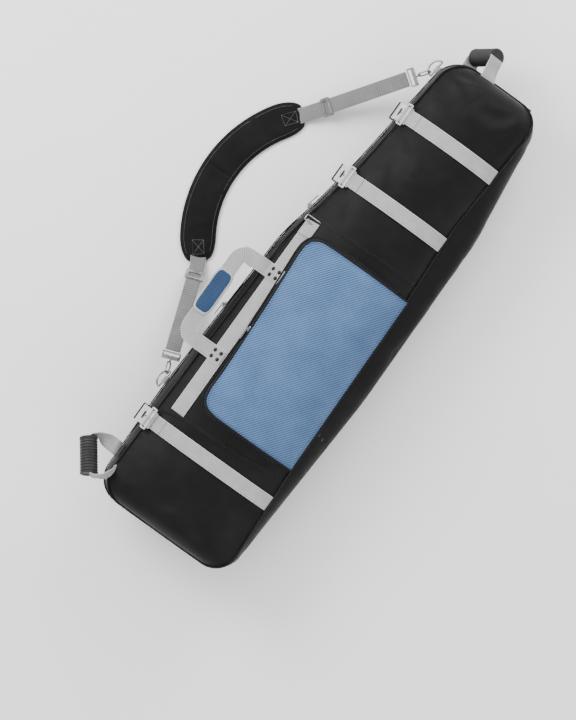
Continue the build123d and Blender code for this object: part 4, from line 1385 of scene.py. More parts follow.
@dataclass
class CompressionStraps:
    """Three straps across the front, each with its side-release buckle on the zipper side."""

    form: CaseForm
    shop: Workshop
    places: dict[str, float] = field(default_factory=lambda: {"lower": -465.0, "middle": 285.0,
                                                              "upper": 488.0})
    width: float = 38.0
    wall: float = 2.0
    fold_length: float = 46.0
    bar_reach: float = 27.0
    bar_radius: float = 2.4
    # Half length, width and height of the black bead of painted shade that stands for each buckle's slot.
    slot: tuple[float, float, float] = (10.5, 4.6, 1.2)
    sides: dict[str, float] = field(default_factory=lambda: {"lower": 218.5, "middle": 165.7, "upper": 139.1})

    def buckle(self, name: str, place: float) -> None:
        """What shows of a buckle besides its moulded halves: the webbing's bar, and a black bead in its
        face that is painted shade standing for the slot.

        Args:
            name: Name of the strap.
            place: Place of the strap along the case.
        """
        seam = float(self.form.section(np.array([place]), np.array([0.0]), 0.0)["seam_l"][0])
        top, brow = np.array([seam - 6.5, 233.5]), np.array([seam + 8.5, 219.0])
        foot = np.array([self.sides[name] + 6.0, 190.0])
        slope, face = unit(top - brow), unit(foot - brow)
        out, over = np.array([slope[1], -slope[0]]), np.array([-face[1], face[0]])
        reach = self.bar_reach
        ring = [(-reach, -7.5), (reach, -7.5), (reach, 7.5), (-reach, 7.5)]
        middle = (top + brow) / 2 + out * 3.0
        corners = np.array([[place + a, *(middle + slope * b)] for a, b in ring])
        bar = tube(evenly(corners, 3.0, closed=True), np.array([0.0, *out]), self.bar_radius, closed=True)
        self.shop.mount(bar.build(f"buckle_bar_{name}"), "grey_plastic", "front_cover")
        # Painted shade: the slot is an opening in shade, and a solid black bead stands on the face in its
        # place.
        spot = np.array([[place, *((brow + foot) / 2 + over * 0.4)]])
        slot = beads(spot, ALONG[None], np.array([[0.0, *over]]), self.slot, 9, 24)
        self.shop.mount(slot.build(f"buckle_slot_shade_{name}"), "rivet", "front_cover")

    def path(self, place: float, grow: float) -> Array:
        """A strap's line from the hinge side's seam over the front to the buckle's bar."""
        s = self.form.section(np.array([place]), np.array([0.0]), grow)
        front = self.form.front_curve(s, np.linspace(1, 0, 70))[0]
        points = np.column_stack([np.full(len(front), place), front])
        seam = float(s["seam_l"][0])
        bar = np.array([[place, seam + 3.0, self.form.seam_height + 7.5 + grow]])
        keep = points[(points[:, 1] < seam - 12.0) & (points[:, 1] > -s["seam_r"][0] + 1.5)]
        return rounded(np.vstack([keep, bar]), 4.0, 26.0)

    def webbing(self, name: str, place: float) -> None:
        """The strap, its folded end at the buckle with two rows of stitches, and its sewn end at the seam."""
        path = self.path(place, 1.9)
        lower = strap(path, UP, self.width, self.wall)
        folded = path[lengths(path) > lengths(path)[-1] - self.fold_length] + UP * 2.1
        turn = np.radians(np.linspace(90, -90, 9))[:, None]
        tangent = unit(path[-1] - path[-3])
        normal = unit(np.cross(ALONG, tangent)) * (1 if np.cross(ALONG, tangent)[2] > 0 else -1)
        centre = path[-1] + normal * 1.05
        hook = centre + normal * 1.05 * np.sin(turn) + tangent * 3.2 * np.cos(turn)
        upper = strap(evenly(np.vstack([folded, hook]), 2.5), np.array([0.0, 0.5, 1.0]), self.width - 0.6,
                      self.wall)
        piece = (lower + upper).build(f"compression_webbing_{name}")
        self.shop.mount(piece, "webbing", "front_cover", [f"compression_strap_{name}"])
        rows = []
        for back in (2.5, 5.5):
            at = path[np.argmin(np.abs(lengths(path) - lengths(path)[-1] + self.fold_length
                - back))] + UP * 3.15
            rows.append(stitches(at + ALONG * np.linspace(-16, 16, 12)[:, None], UP, 3.2, 0.4))
        for inward in (4.0, 8.0):
            at = path[np.argmin(np.abs(lengths(path) - inward))] + UP * 1.1
            rows.append(stitches(at + ALONG * np.linspace(-16, 16, 12)[:, None], UP, 3.2, 0.4))
        self.shop.mount(join(rows).build(f"compression_stitches_{name}"), "thread_light", "front_cover")

    def build(self) -> None:
        """Build and mount the straps."""
        for name, place in self.places.items():
            self.webbing(name, place)
            self.buckle(name, place)
        self.shop.keep("buckle_plugs", "grey_plastic")
        self.shop.keep("buckle_receivers", "black_plastic")
        stubs = []
        for place in self.places.values():
            low = float(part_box("receiver_webbing")[0].z) / MM
            heights = np.linspace(max(low, 60.0), 126.0, 14)
            s = self.form.section(np.array([place]), np.array([0.0]), 1.6)
            curve = self.form.back_curve(s, np.linspace(0, 1, 40))[0][:40]
            y = np.interp(heights, curve[::-1, 1], curve[::-1, 0])
            path = np.column_stack([np.full(14, place), y, heights])
            stubs.append(strap(path, np.array([0.0, 1.0, 0.0]), 30.0, 2.0))
        self.shop.mount(join(stubs).build("receiver_stubs"), "grab_webbing", "case_base",
                        ["receiver_webbing"])


@dataclass
class SideStrip:
    """The webbing strip along the zipper side of the front panel, with its folded end and the handle's
    rivets."""

    form: CaseForm
    shop: Workshop
    start: float = -414.0
    stop: float = 150.0
    middle: float = 151.0
    width: float = 38.0
    rivets: Profile = (
        (-254.5, 146.5), (-237.5, 146.5), (-254.5, 163.5), (-237.5, 163.5), (-14.5, 146.5), (2.5, 146.5),
        (-14.5, 163.5), (2.5, 163.5),
    )

    def build(self) -> None:
        """Build and mount the strip: it follows the front panel at a constant distance from the centre
        line."""
        x = np.arange(self.start, self.stop + 1, 6.0)
        path = self.form.front_point(x, np.full_like(x, self.middle), 1.7)
        tilt = self.form.front_point(x, np.full_like(x, self.middle - 8), 1.7)
        lean = unit(np.cross(ALONG, path - tilt))
        strip = strap(path, lean, self.width, 2.0)
        fold = path[-8:] + lean[-8:] * 2.1
        strip = strip + strap(fold, lean[-8:], self.width - 1.0, 2.0)
        self.shop.mount(strip.build("side_strip"), "webbing", "front_cover", ["side_webbing"])
        rows = []
        across = unit(np.cross(lean, ALONG))
        for side in (-1.0, 1.0):
            edge = path + across * side * 15.5 + lean * 1.05
            rows.append(stitches(edge, UP, 3.6, 0.38))
        for k, lift in ((1, 1.05), (-7, 3.15), (-6, 3.15)):
            rows.append(stitches(path[k] + across[k] * np.linspace(-15, 15, 10)[:, None] + lean[k] * lift,
                                 UP, 3.2, 0.4))
        self.shop.mount(join(rows).build("side_strip_stitches"), "thread_light", "front_cover")
        self.shop.keep("handle_rivets", "rivet")
        heads = self.form.front_point(*np.array(self.rivets).T, 4.6)
        self.shop.mount(domes(heads, 5.2, 2.6).build("rivet_heads"), "rivet", "front_cover")
        end = self.form.front_point(np.array([self.stop]), np.array([self.middle]), 5.2)[0]
        bar = rounded(np.array([(-7, -22), (7, -22), (7, 22), (-7, 22), (-7, -22), (0, -22)], float), 2.0,
                      4.0)
        ring = end + np.column_stack([bar, np.zeros(len(bar))])
        ring = evenly(ring[: np.argmin(np.linalg.norm(ring[20:] - ring[0], axis=1)) + 20], 2.0, closed=True)
        self.shop.mount(tube(ring, UP, 1.9, closed=True).build("side_strip_loop"), "silver", "front_cover")


@dataclass
class CarryHandle:
    """Two webbing loops at the zipper side; a padded wrap joins them at the grip."""

    form: CaseForm
    shop: Workshop
    middle: float = -126.0
    span: float = 240.0
    reach: float = 72.0
    pivot_y: float = 178.0
    pivot_z: float = 230.0
    rear_y: float = 214.0
    rear_z: float = 116.0
    rear_slope: float = 57.0
    corner: float = 34.0
    width: float = 38.0
    wrap_length: float = 120.0
    wrap_width: float = 46.0
    wrap_depth: float = 14.0

    def loop(self, foot: float) -> Array:
        """A loop's plan: out along one leg, round a corner, along the bar and back, as (along, out) pairs."""
        half = self.span / 2
        plan = [(-half, foot), (-half, self.reach - 14), (-half + 14, self.reach), (half - 14, self.reach),
                (half, self.reach - 14), (half, foot)]
        return rounded(np.asarray(plan), 4.0, self.corner)

    def front(self) -> None:
        """The front loop: its feet lie on the strip under the rivets and it bends up to the bar."""
        plan = self.loop(-42.0)
        x, y = self.middle + plan[:, 0], self.pivot_y + plan[:, 1]
        low = self.form.front_point(x, np.minimum(y, 176.0), 3.9)[:, 2]
        share = np.clip((y - 160.0) / 42.0, 0, 1)
        share = share * share * (3 - 2 * share)
        path = np.column_stack([x, y, low + (self.pivot_z - low) * share])
        lean = np.tile(UP, (len(path), 1))
        band = strap(path, lean, self.width, 2.0)
        piece = band.build("front_handle_band")
        self.shop.dress(piece, "grab_webbing")
        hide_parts("front_handle_webbing")
        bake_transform(piece)
        rows = []
        across, _ = frames(path, lean)
        inner = (y > self.pivot_y + 8)
        for side in (-1.0, 1.0):
            rows.append(stitches((path + across * side * 15.4 + UP * 1.05)[inner], UP, 3.6, 0.38))
        self.shop.mount(join(rows).build("front_handle_stitches"), "thread_light", "carry_handle_front")

    def rear(self) -> None:
        """The rear loop, which hangs on the back half below the front one."""
        plan = self.loop(0.0)
        slope = np.radians(self.rear_slope)
        way = np.array([0.0, np.cos(slope), np.sin(slope)])
        base = np.array([self.middle, self.rear_y, self.rear_z])
        path = base + plan[:, :1] * ALONG + plan[:, 1:] * way
        lean = np.cross(ALONG, way)
        band = strap(path, lean, self.width, 2.0)
        self.shop.mount(band.build("rear_handle_band"), "grab_webbing", "carry_handle_rear",
                        ["rear_handle_webbing"])

    def wrap(self) -> None:
        """The padded wrap: a rounded sleeve round the bar, crowned on both faces, with a binding round its
        edge.

        The sleeve is a rounded rectangle seen from the front; its height over the bar is half the depth
        times the
        root of one minus the distance from the middle to the edge, to the fourth power.
        """
        centre = np.array([self.middle, self.pivot_y + self.reach, self.pivot_z])
        turn = np.linspace(0, 2 * np.pi, 96, endpoint=False)
        power = 0.36
        rim = np.stack([np.sign(np.cos(turn)) * np.abs(np.cos(turn)) ** power * self.wrap_length / 2,
                        np.sign(np.sin(turn)) * np.abs(np.sin(turn)) ** (power + 0.12)
                            * self.wrap_width / 2], axis=1)
        ring = np.concatenate([np.sin(np.linspace(0.02, np.pi / 2, 16)),
                               np.sin(np.linspace(np.pi / 2, np.pi - 0.02, 16))[1:]])
        face = np.concatenate([np.ones(16), -np.ones(15)])
        height = face * np.sqrt(np.clip(1 - ring**4, 0, 1)) * (self.wrap_depth / 2 + 1.0)
        plan = rim[None] * ring[:, None, None]
        dimple = 0.7 * np.cos(plan[..., 0] / self.wrap_length * 2 * np.pi * 3) * (1 - ring[:, None] ** 2)
        z = height[:, None] + face[:, None] * dimple
        points = np.concatenate([plan, np.broadcast_to(z[..., None], (*z.shape, 1))], axis=2)
        caps = [np.arange(96)[None, ::-1], np.arange(96)[None] + 30 * 96]
        sleeve = Surface(points.reshape(-1, 3) + centre, [grid_quads(31, 96, True), *caps],
                         plan.reshape(-1, 2)).outward()
        piece = sleeve.build("handle_wrap_cloth")
        self.shop.mount(piece, "blue_grip", "carry_handle_front", ["handle_wrap"])
        edge = np.column_stack([rim, np.zeros(96)]) + centre
        edge = evenly(edge, 3.0, closed=True)
        out = unit((edge - centre) * np.array([1.0, 2.6, 0.0]))
        binding = carried(flat_outline(11.5, 6.5), edge - out * 2.0, np.tile(UP, (len(edge), 1)), out,
                          closed=True)
        self.shop.mount(binding.build("handle_wrap_binding"), "light_edge", "carry_handle_front",
                        ["handle_binding"])
        rows = [stitches(np.vstack([edge, edge[:1]]) - np.vstack([out, out[:1]]) * 3.6 + UP * 6.0, UP, 3.4,
                         0.4)]
        self.shop.mount(join(rows).build("handle_wrap_stitches"), "thread_light", "carry_handle_front")

    def build(self) -> None:
        """Build both loops and the wrap, and mount all of them but the front loop's band, which is only
        dressed.
        """
        self.front()
        self.rear()
        self.wrap()


@dataclass
class Zipper:
    """Tapes and teeth of one half of a zipper along a line."""

    shop: Workshop
    tape: float = 14.0
    tape_wall: float = 1.6
    pitch: float = 3.0
    tooth: tuple[float, float, float] = (1.7, 1.0, 1.2)

    def half(self, name: str, line: Array, out: Array, side: Array, body: str, stands_for: Sequence[str],
             offset: float = 0.0) -> None:
        """One half: a tape beside the line, a stitched edge, and every tooth of this side.

        Args:
            name: Name of the pieces.
            line: The line where the teeth meet.
            out: Direction away from the cloth at each point.
            side: Direction from the line into the tape at each point.
            body: Body that it moves with.
            stands_for: Frame nodes that it replaces.
            offset: Place of the first tooth along the line, as a share of the pitch.
        """
        across, up = np.broadcast_to(side, line.shape), np.broadcast_to(out, line.shape)
        middle = line + across * (self.tape / 2 + 0.5)
        band = carried(flat_outline(self.tape - 1.0, self.tape_wall), middle, across, up)
        self.shop.mount(band.build(name + "_tape"), "trim", body, stands_for)
        count = int(lengths(line)[-1] / self.pitch)
        places = (np.arange(count) + 0.5 + offset) * self.pitch
        reach = lengths(line)
        places = places[places < reach[-1]]
        points = np.stack([np.interp(places, reach, line[:, k]) for k in range(3)], axis=1)
        side_at = unit(np.stack([np.interp(places, reach, across[:, k]) for k in range(3)], axis=1))
        up_at = unit(np.stack([np.interp(places, reach, up[:, k]) for k in range(3)], axis=1))
        teeth = beads(points + side_at * 1.2 + up_at * 0.9, side_at, up_at, self.tooth, 3, 6)
        self.shop.mount(teeth.build(name + "_teeth"), "teeth", body)
        seam = line + across * (self.tape - 3.0) + up * (self.tape_wall / 2 + 0.05)
        self.shop.mount(stitches(seam, up, 3.4, 0.34).build(name + "_stitches"), "thread_black", body)


@dataclass
class MainZipper:
    """The zipper between the two halves, along the zipper side and round both ends."""

    form: CaseForm
    shop: Workshop
    hinge_end: float = -120.0

    def build(self) -> None:
        """Build and mount both halves of the zipper."""
        line = self.form.rim(1.6, self.form.zip_height, 5.0, self.hinge_end)
        line = evenly(line, 4.0)
        out = unit(np.cross(unit(np.gradient(line, axis=0)), UP))
        inward = ((line - np.array([0.0, 0.0, 165.0])) * out).sum(axis=1).mean() < 0
        out = -out if inward else out
        zipper = Zipper(self.shop)
        zipper.half("cover_zipper", line + UP * 0.3, out, UP, "front_cover", ["zipper_tape_cover"])
        zipper.half("base_zipper", line - UP * 0.3, out, -UP, "case_base", ["zipper_tape_base"], 0.5)
        for side in ("upper", "lower"):
            self.shop.keep(f"main_slider_{side}", "silver")
            self.shop.keep(f"main_pull_{side}", "silver")


# ---------------------------------------------------------------- pocket
@dataclass
class Pocket:
    """The zipped pocket on the front panel: a puffed front, a side wall, piping and its zipper."""

    form: CaseForm
    shop: Workshop
    plan: Profile = (
        (124.0, -147.0), (124.0, -60.0), (123.5, 40.0), (123.0, 86.0), (121.0, 108.0), (111.0, 126.0),
        (92.0, 135.0),
        (66.0, 135.5), (0.0, 131.0), (-80.0, 126.0), (-200.0, 120.5), (-270.0, 118.0), (-320.0, 119.0),
        (-348.0, 114.0), (-363.0, 98.0), (-368.5, 72.0), (-369.0, 0.0), (-369.0, -80.0), (-368.5, -153.0),
    )
    rim_height: float = 24.0
    crown: float = 38.0
    sewn_height: float = 5.0
    wall: float = 1.8
    piping_radius: float = 2.1
    foot_step: float = 1.5

    def outline(self) -> Array:
        """The pocket's outline seen from the front, evenly spaced, from the sewn side's top corner round
        to its end."""
        return rounded(np.asarray(self.plan), 4.0, 26.0)

    def rim_over_panel(self, edge: Array) -> Array:
        """Height of the rim over the front panel: low at the sewn side, full at the zipper side, with a
        smooth rise."""
        share = np.clip((edge[:, 1] + 150.0) / 125.0, 0, 1)
        return self.sewn_height + (self.rim_height - self.sewn_height) * share * share * (3 - 2 * share)

    def rim(self, edge: Array, out: float = 0.0) -> Array:
        """Points of the rim over an outline."""
        base = self.form.front_point(edge[:, 0], edge[:, 1])
        return base + UP * (self.rim_over_panel(edge)[:, None] + out)

    def closed_edge(self) -> Array:
        """The whole outline, closed along the sewn side, evenly spaced."""
        return evenly(self.outline(), 4.0, closed=True)

    def front(self) -> Surface:
        """The front: rings shrink from the outline to a point in the middle.

        A ring's height over the panel is the rim's height, plus what is left to the crown times one minus
        the ring's
        share to the power 3.2. Soft folds run in from the corners and puckers run along the rim.
        """
        edge = self.closed_edge()
        middle = np.array([-123.0, -8.0])
        share = np.concatenate([[0.0], np.linspace(0.03, 1.0, 44)])[:, None]
        plan = middle + (edge[None] - middle) * share[..., None]
        base = self.form.front_point(plan[..., 0], plan[..., 1])
        rim = self.rim_over_panel(edge)[None]
        height = rim + (self.crown - rim) * (1 - share**3.2) ** 0.85
        folds = Folds.of([
            (112, 105, 40, 40, 13, 2.0), (118, -135, 40, -60, 16, 2.6), (110, -140, 0, -125, 10, -2.2),
            (116, -100, 60, 0, 12, -1.8), (-355, 108, -290, 50, 13, 2.0), (-362, -140, -280, -80, 15, 2.4),
            (-350, -146, -220, -132, 9, -2.0), (80, 118, -60, 105, 9, -1.6), (-120, 112, -300, 100, 8, -1.4),
            (40, -140, -160, -138, 9, 1.6), (105, 20, 95, -70, 12, 1.6), (-60, -30, -220, 10, 40, 1.6),
            (60, 60, -20, -40, 30, -1.4), (-340, 20, -335, -70, 12, -1.6), (-200, -60, -300, -20, 30, 1.3),
        ])
        fine = Folds.scattered(53, 70, (-360, 120, -145, 125), 25.0, 50.0, (50.0, 130.0), 0.45)
        fade = np.clip((1 - share) * 9, 0, 1)
        height = height + (folds.height(plan[..., 0], plan[..., 1]) + fine.height(plan[..., 0],
            plan[..., 1])) * fade
        reach = np.arange(len(edge)) * 4.0
        pucker = np.sin(reach / 3.7 + 1.5 * np.sin(reach / 41.0))[None] * 0.5
        height = height + pucker * np.exp(-(1 - share) * 130.0 / 9.0) * (share < 0.999)
        points = base + UP * height[..., None]
        cloth = plan.reshape(-1, 2)
        grid = Surface(points.reshape(-1, 3), [grid_quads(*plan.shape[:2], closed=True)], cloth)
        return grid.facing(lambda at: np.broadcast_to(UP, at.shape))

    def side_wall(self) -> Surface:
        """The side wall: straight rows from the rim down to the foot, swollen a little in the middle."""
        edge = self.closed_edge()
        top = self.rim(edge)
        away = self.away(edge)
        foot = edge + away[:, :2] * self.foot_step
        low = self.form.front_point(foot[:, 0], foot[:, 1], 1.6)
        share = np.linspace(0, 1, 9)[:, None, None]
        rows = top[None] + (low - top)[None] * share + away[None] * 3.0 * np.sin(np.pi * share)
        girth = np.arange(len(edge)) * 4.0
        depth = np.linalg.norm(low - top, axis=1)
        cloth = np.stack(np.broadcast_arrays(girth[None], depth[None] * share[..., 0]), axis=-1).reshape(-1,
            2)
        wall = Surface(rows.reshape(-1, 3), [grid_quads(9, len(edge), closed=True)], cloth)
        centre = np.array([-123.0, -8.0, 250.0])
        return wall.facing(lambda at: (at - centre) * np.array([1.0, 1.0, 0.0]))

    def away(self, edge: Array) -> Array:
        """Level directions out of a closed outline."""
        ahead = unit(np.roll(edge, -1, axis=0) - np.roll(edge, 1, axis=0))
        out = np.column_stack([ahead[:, 1], -ahead[:, 0], np.zeros(len(edge))])
        middle = edge.mean(axis=0)
        sense = np.sign(((edge - middle) * out[:, :2]).sum())
        return out * sense

    def build(self) -> None:
        """Build and mount the pocket, its piping, its stitches and its zipper."""
        front = self.front().build("pocket_front", weld=True)
        thicken(front, self.wall)
        self.shop.mount(front, "blue", "pocket_flap", ["pocket_shell"])
        wall = self.side_wall().build("pocket_side_wall", weld=True)
        thicken(wall, self.wall)
        self.shop.mount(wall, "gusset", "pocket_flap")
        edge = self.closed_edge()
        away = self.away(edge)
        cord = tube(self.rim(edge) + away * 0.8, away, self.piping_radius, closed=True)
        self.shop.mount(cord.build("pocket_piping_cord"), "trim", "pocket_flap", ["pocket_piping"])
        inner = edge - away[:, :2] * 5.5
        base = self.form.front_point(inner[:, 0], inner[:, 1])
        share = 1 - 5.5 / 130.0
        lift = self.rim_over_panel(edge) + (self.crown - self.rim_over_panel(edge)) * (1 - share**3.2) ** 0.85
        seam = stitches(base + UP * (lift + 0.3)[:, None], UP, 3.6, 0.34)
        self.shop.mount(seam.build("pocket_edge_stitches"), "thread_black", "pocket_flap")
        loop = self.outline()
        loop = loop[(loop[:, 1] > -118.0)]
        out = np.column_stack([np.gradient(loop[:, 1]), -np.gradient(loop[:, 0]), np.zeros(len(loop))])
        out = unit(out) * np.sign(((loop - loop.mean(axis=0)) * out[:, :2]).sum())
        foot = loop + out[:, :2] * (self.foot_step + 1.8)
        line = self.form.front_point(foot[:, 0], foot[:, 1], 2.6)
        zipper = Zipper(self.shop, 8.5, 1.4, 2.6, (1.4, 0.85, 1.0))
        zipper.half("pocket_flap_zipper", line + UP * 0.6, out, UP, "pocket_flap", [])
        zipper.half("pocket_panel_zipper", line, UP, out, "front_cover", ["pocket_zipper_tape"], 0.5)
        self.shop.keep("pocket_slider", "silver")
        self.shop.keep("pocket_pull", "silver")


# ---------------------------------------------------------------- end handles
@dataclass
class GrabHandle:
    """A webbing handle at one end of the case, through a ribbed rubber grip."""

    shop: Workshop
    name: str
    parent: str
    middle: tuple[float, float, float]
    axis: tuple[float, float, float]
    outwards: tuple[float, float, float]
    first_foot: tuple[tuple[float, float, float], ...]
    last_foot: tuple[tuple[float, float, float], ...]
    first_across: tuple[float, float, float]
    last_across: tuple[float, float, float]
    stand: float = 45.0
    radius: float = 22.0
    grip_length: float = 92.0
    ribs: int = 13
    rib_depth: float = 2.3
    width: float = 38.0

    def directions(self) -> tuple[Array, Array, Array]:
        """Middle of the grip, direction along it, and direction out of the case at right angles to it."""
        along = unit(np.asarray(self.axis))
        out = np.asarray(self.outwards)
        return np.asarray(self.middle), along, unit(out - along * (out @ along))

    def grip(self) -> None:
        """The grip: a circle whose radius follows the ribs, turned about the axis, with rounded closed
        ends."""
        middle, along, out = self.directions()
        half = self.grip_length / 2
        body = np.linspace(-half + 3.0, half - 3.0, 14 * self.ribs)
        wave = np.clip(np.sin((body + half) * 2 * np.pi * self.ribs / self.grip_length) * 2.2, -1, 1)
        ribbed = self.radius - self.rib_depth * (0.5 - 0.5 * wave)
        lip = np.linspace(0, np.pi / 2, 6)
        cap = half - 3.0 + 3.0 * np.sin(lip)
        rim = self.radius - 3.0 + 3.0 * np.cos(lip) + 0.6
        face = np.array([self.radius - 6.0, self.radius - 7.0, self.radius - 8.0, 6.0, 0.01])
        sunk = np.array([half, half - 1.6, half - 1.8, half - 1.8, half - 1.8])
        place = np.concatenate([-sunk[::-1], -cap[::-1], body, cap, sunk])
        girth = np.concatenate([face[::-1], rim[::-1], ribbed, rim, face])
        turn = np.linspace(0, 2 * np.pi, 56, endpoint=False)
        side = np.cross(along, out)
        ring = np.cos(turn)[:, None] * out + np.sin(turn)[:, None] * side
        points = middle + place[:, None, None] * along + girth[:, None, None] * ring[None]
        cloth = np.stack(np.broadcast_arrays(place[:, None], turn[None] * self.radius), axis=-1).reshape(-1,
            2)
        shape = Surface(points.reshape(-1, 3), [grid_quads(len(place), 56, True)], cloth).outward()
        piece = shape.build(f"{self.name}_grab_ribbed_grip", weld=True)
        self.shop.mount(piece, "rubber", f"{self.name}_grab", [f"{self.name}_grab_grip"])

    def webbing(self) -> None:
        """The webbing: from one foot out to the grip, through it and back to the other foot, turning as it
        goes."""
        middle, along, out = self.directions()
        leg = self.grip_length / 2 + 6.0
        loop = [(-leg + 1, 16.0), (-leg, self.stand - 10.0), (-leg + 8, self.stand),
                (-self.grip_length / 4, self.stand)]
        loop += [(-a, b) for a, b in loop[::-1]]
        hinge = middle - out * self.stand
        turnabout = [hinge + along * a + out * b for a, b in loop]
        corners = np.vstack([np.asarray(self.first_foot), turnabout, np.asarray(self.last_foot)[::-1]])
        path = rounded(corners, 3.0, 18.0)
        normal = np.cross(out, along)
        reach = lengths(path)
        share = np.clip(np.abs(reach / reach[-1] - 0.5) * 2, 0, 1)
        share = np.clip((share - 0.45) / 0.4, 0, 1)[:, None]
        share = share * share * (3 - 2 * share)
        end = np.where((reach < reach[-1] / 2)[:, None], np.asarray(self.first_across),
                       np.asarray(self.last_across))
        first = normal * np.sign(end @ normal + 1e-6)[:, None]
        across = first * (1 - share) + unit(end) * share
        tangent = unit(np.gradient(path, axis=0))
        across = unit(across - (across * tangent).sum(axis=1, keepdims=True) * tangent)
        lean = np.cross(across, tangent)
        _, face = frames(path, lean)
        band = carried(flat_outline(self.width, 2.2), path, np.cross(tangent, face), face)
        piece = band.build(f"{self.name}_grab_band")
        self.shop.dress(piece, "grab_webbing")
        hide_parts(f"{self.name}_grab_webbing", f"{self.name}_grab_tabs")
        start = (hinge + out * 1.0) * MM
        stop = (hinge + out * 16.0) * MM
        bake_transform(piece)
        rows = []
        for index, sense in ((3, 1), (6, 1), (-4, 1), (-7, 1)):
            side = np.cross(tangent, face)[index]
            for lift in (1.15, -1.15):
                rows.append(stitches(path[index] + side * np.linspace(-15, 15, 10)[:,
                    None] * sense + face[index] * lift,
                                     face[index] * np.sign(lift), 3.2, 0.4))
        self.shop.mount(join(rows).build(f"{self.name}_grab_stitches"), "thread_light", self.parent)

    def build(self) -> None:
        """Build and mount the grip, and build its webbing: the band is only dressed, and its stitches are
        mounted.
        """
        self.grip()
        self.webbing()


# ---------------------------------------------------------------- shoulder strap
@dataclass
class ShoulderStrap:
    """The shoulder strap: a curved pad, two lengths of webbing and their hardware."""

    shop: Workshop
    form: CaseForm
    lower_ring: tuple[float, float, float] = (-369.0, 225.0, 128.0)
    upper_ring: tuple[float, float, float] = (630.0, 126.0, 128.0)
    pad_centre: tuple[float, float] = (136.0, 103.0)
    pad_radius: float = 315.0
    pad_width: float = 84.0
    pad_depth: float = 14.0
    pad_start: float = 46.0
    pad_stop: float = 134.0
    stitch_inset: float = 7.0
    strap_height: float = 8.0
    first_reach: float = 77.4
    width: float = 38.0

    def arc(self, angle: Array, radius: float | Array | None = None, height: float | Array = 0.0) -> Array:
        """Points on the pad's arc at angles in degrees."""
        radius = self.pad_radius if radius is None else radius
        turn = np.radians(angle)
        x, y = self.pad_centre[0] + radius * np.cos(turn), self.pad_centre[1] + radius * np.sin(turn)
        return np.stack(np.broadcast_arrays(x, y, height), axis=-1)

    def pad_half(self, share: Array) -> Array:
        """Half the pad's width: full in the middle, narrower towards both ends, and rounded off at them."""
        end = np.minimum(share, 1 - share)
        tip = np.sqrt(np.clip(1 - (1 - np.clip(end / 0.13, 0, 1)) ** 2, 0, 1))
        return self.pad_width / 2 * (0.44 + 0.56 * tip)

    def pad_shape(self) -> Surface:
        """The pad: an arc whose section is a flattened oval, thin at its sewn edge and crowned between seams.

        The height over the edge is the depth times the root of one minus the place across to the fourth
        power; a
        crease crosses it at one seam, and small folds run across.
        """
        share = np.linspace(0, 1, 170)
        angle = self.pad_start + (self.pad_stop - self.pad_start) * share
        turn = np.linspace(0, 2 * np.pi, 72, endpoint=False)
        v, lift = np.cos(turn), np.sin(turn)
        v = np.sign(v) * np.abs(v) ** 0.8
        half = self.pad_half(share)
        ends = np.clip(np.minimum(share, 1 - share) / 0.03, 0, 1) ** 0.5
        crown = np.sign(lift) * np.abs(lift) ** 0.7
        crease = 1 - 0.45 * np.exp(-0.5 * ((share - 0.52) / 0.006) ** 2)
        flat_end = 1 - 0.35 * np.exp(-0.5 * ((np.minimum(share, 1 - share) - 0.0) / 0.05) ** 2)
        depth = self.pad_depth / 2 * ends * crease * flat_end
        x = share[:, None] * 480.0
        folds = Folds.scattered(61, 60, (0, 480, -45, 45), 90.0, 35.0, (20.0, 70.0), 0.9)
        relief = folds.height(np.broadcast_to(x, (170, 72)).copy(),
                              np.broadcast_to(v * 42.0, (170, 72)).copy())
        across = v[None] * half[:, None]
        height = np.where(lift >= 0, crown * 1.15, crown * 0.75)[None] * depth[:, None]
        height = height + np.where(lift > 0.15, 1.0, 0.0)[None] * relief * ends[:, None] * np.abs(lift)[None]
        points = self.arc(angle[:, None], self.pad_radius + across, self.pad_depth * 0.375 + 0.8 + height)
        cloth = np.stack(np.broadcast_arrays(x, across), axis=-1).reshape(-1, 2)
        caps = [np.arange(72)[None, ::-1], np.arange(72)[None] + 169 * 72]
        return Surface(points.reshape(-1, 3), [grid_quads(170, 72, True), *caps], cloth).outward()

    def pad(self) -> None:
        """The pad with its binding, its cross seam and the boxes of stitches that hold the webbing."""
        piece = self.pad_shape().build("shoulder_pad_cloth")
        self.shop.mount(piece, "pad", "shoulder_strap", ["shoulder_pad"])
        share = np.linspace(0.0, 1.0, 150)
        angle = self.pad_start + (self.pad_stop - self.pad_start) * share
        half = self.pad_half(share)
        middle = self.pad_depth * 0.375 + 0.8
        outer = self.arc(angle, self.pad_radius + half, middle)
        inner = self.arc(angle, self.pad_radius - half, middle)
        edge = evenly(np.vstack([outer, inner[::-1]]), 4.0, closed=True)
        binding = tube(edge, UP, 2.6, closed=True)
        self.shop.mount(binding.build("shoulder_pad_binding"), "trim", "shoulder_strap")
        rows = []
        top = middle + self.pad_depth / 2 * 1.12
        ring = self.arc(angle[6:-6], self.pad_radius + half[6:-6] - self.stitch_inset, top - 1.6)
        back = self.arc(angle[6:-6], self.pad_radius - half[6:-6] + self.stitch_inset, top - 1.6)
        rows += [stitches(ring, UP, 3.6, 0.34), stitches(back, UP, 3.6, 0.34)]
        for low, high in ((self.pad_start + 2.6, self.pad_start + 9.0),
                          (self.pad_stop - 9.0, self.pad_stop - 2.6)):
            box = [(low, -14.0), (high, -14.0), (high, 14.0), (low, 14.0), (low, -14.0), (high, 14.0),
                   (low, 14.0),
                   (high, -14.0)]
            angles, offsets = np.asarray(box).T
            line = self.arc(angles, self.pad_radius + offsets, top + 0.6)
            rows += [stitches(evenly(line[k : k + 2], 2.0), UP, 3.4, 0.4) for k in range(len(box) - 1)]
        self.shop.mount(join(rows).build("shoulder_pad_stitches"), "thread_grey", "shoulder_strap")

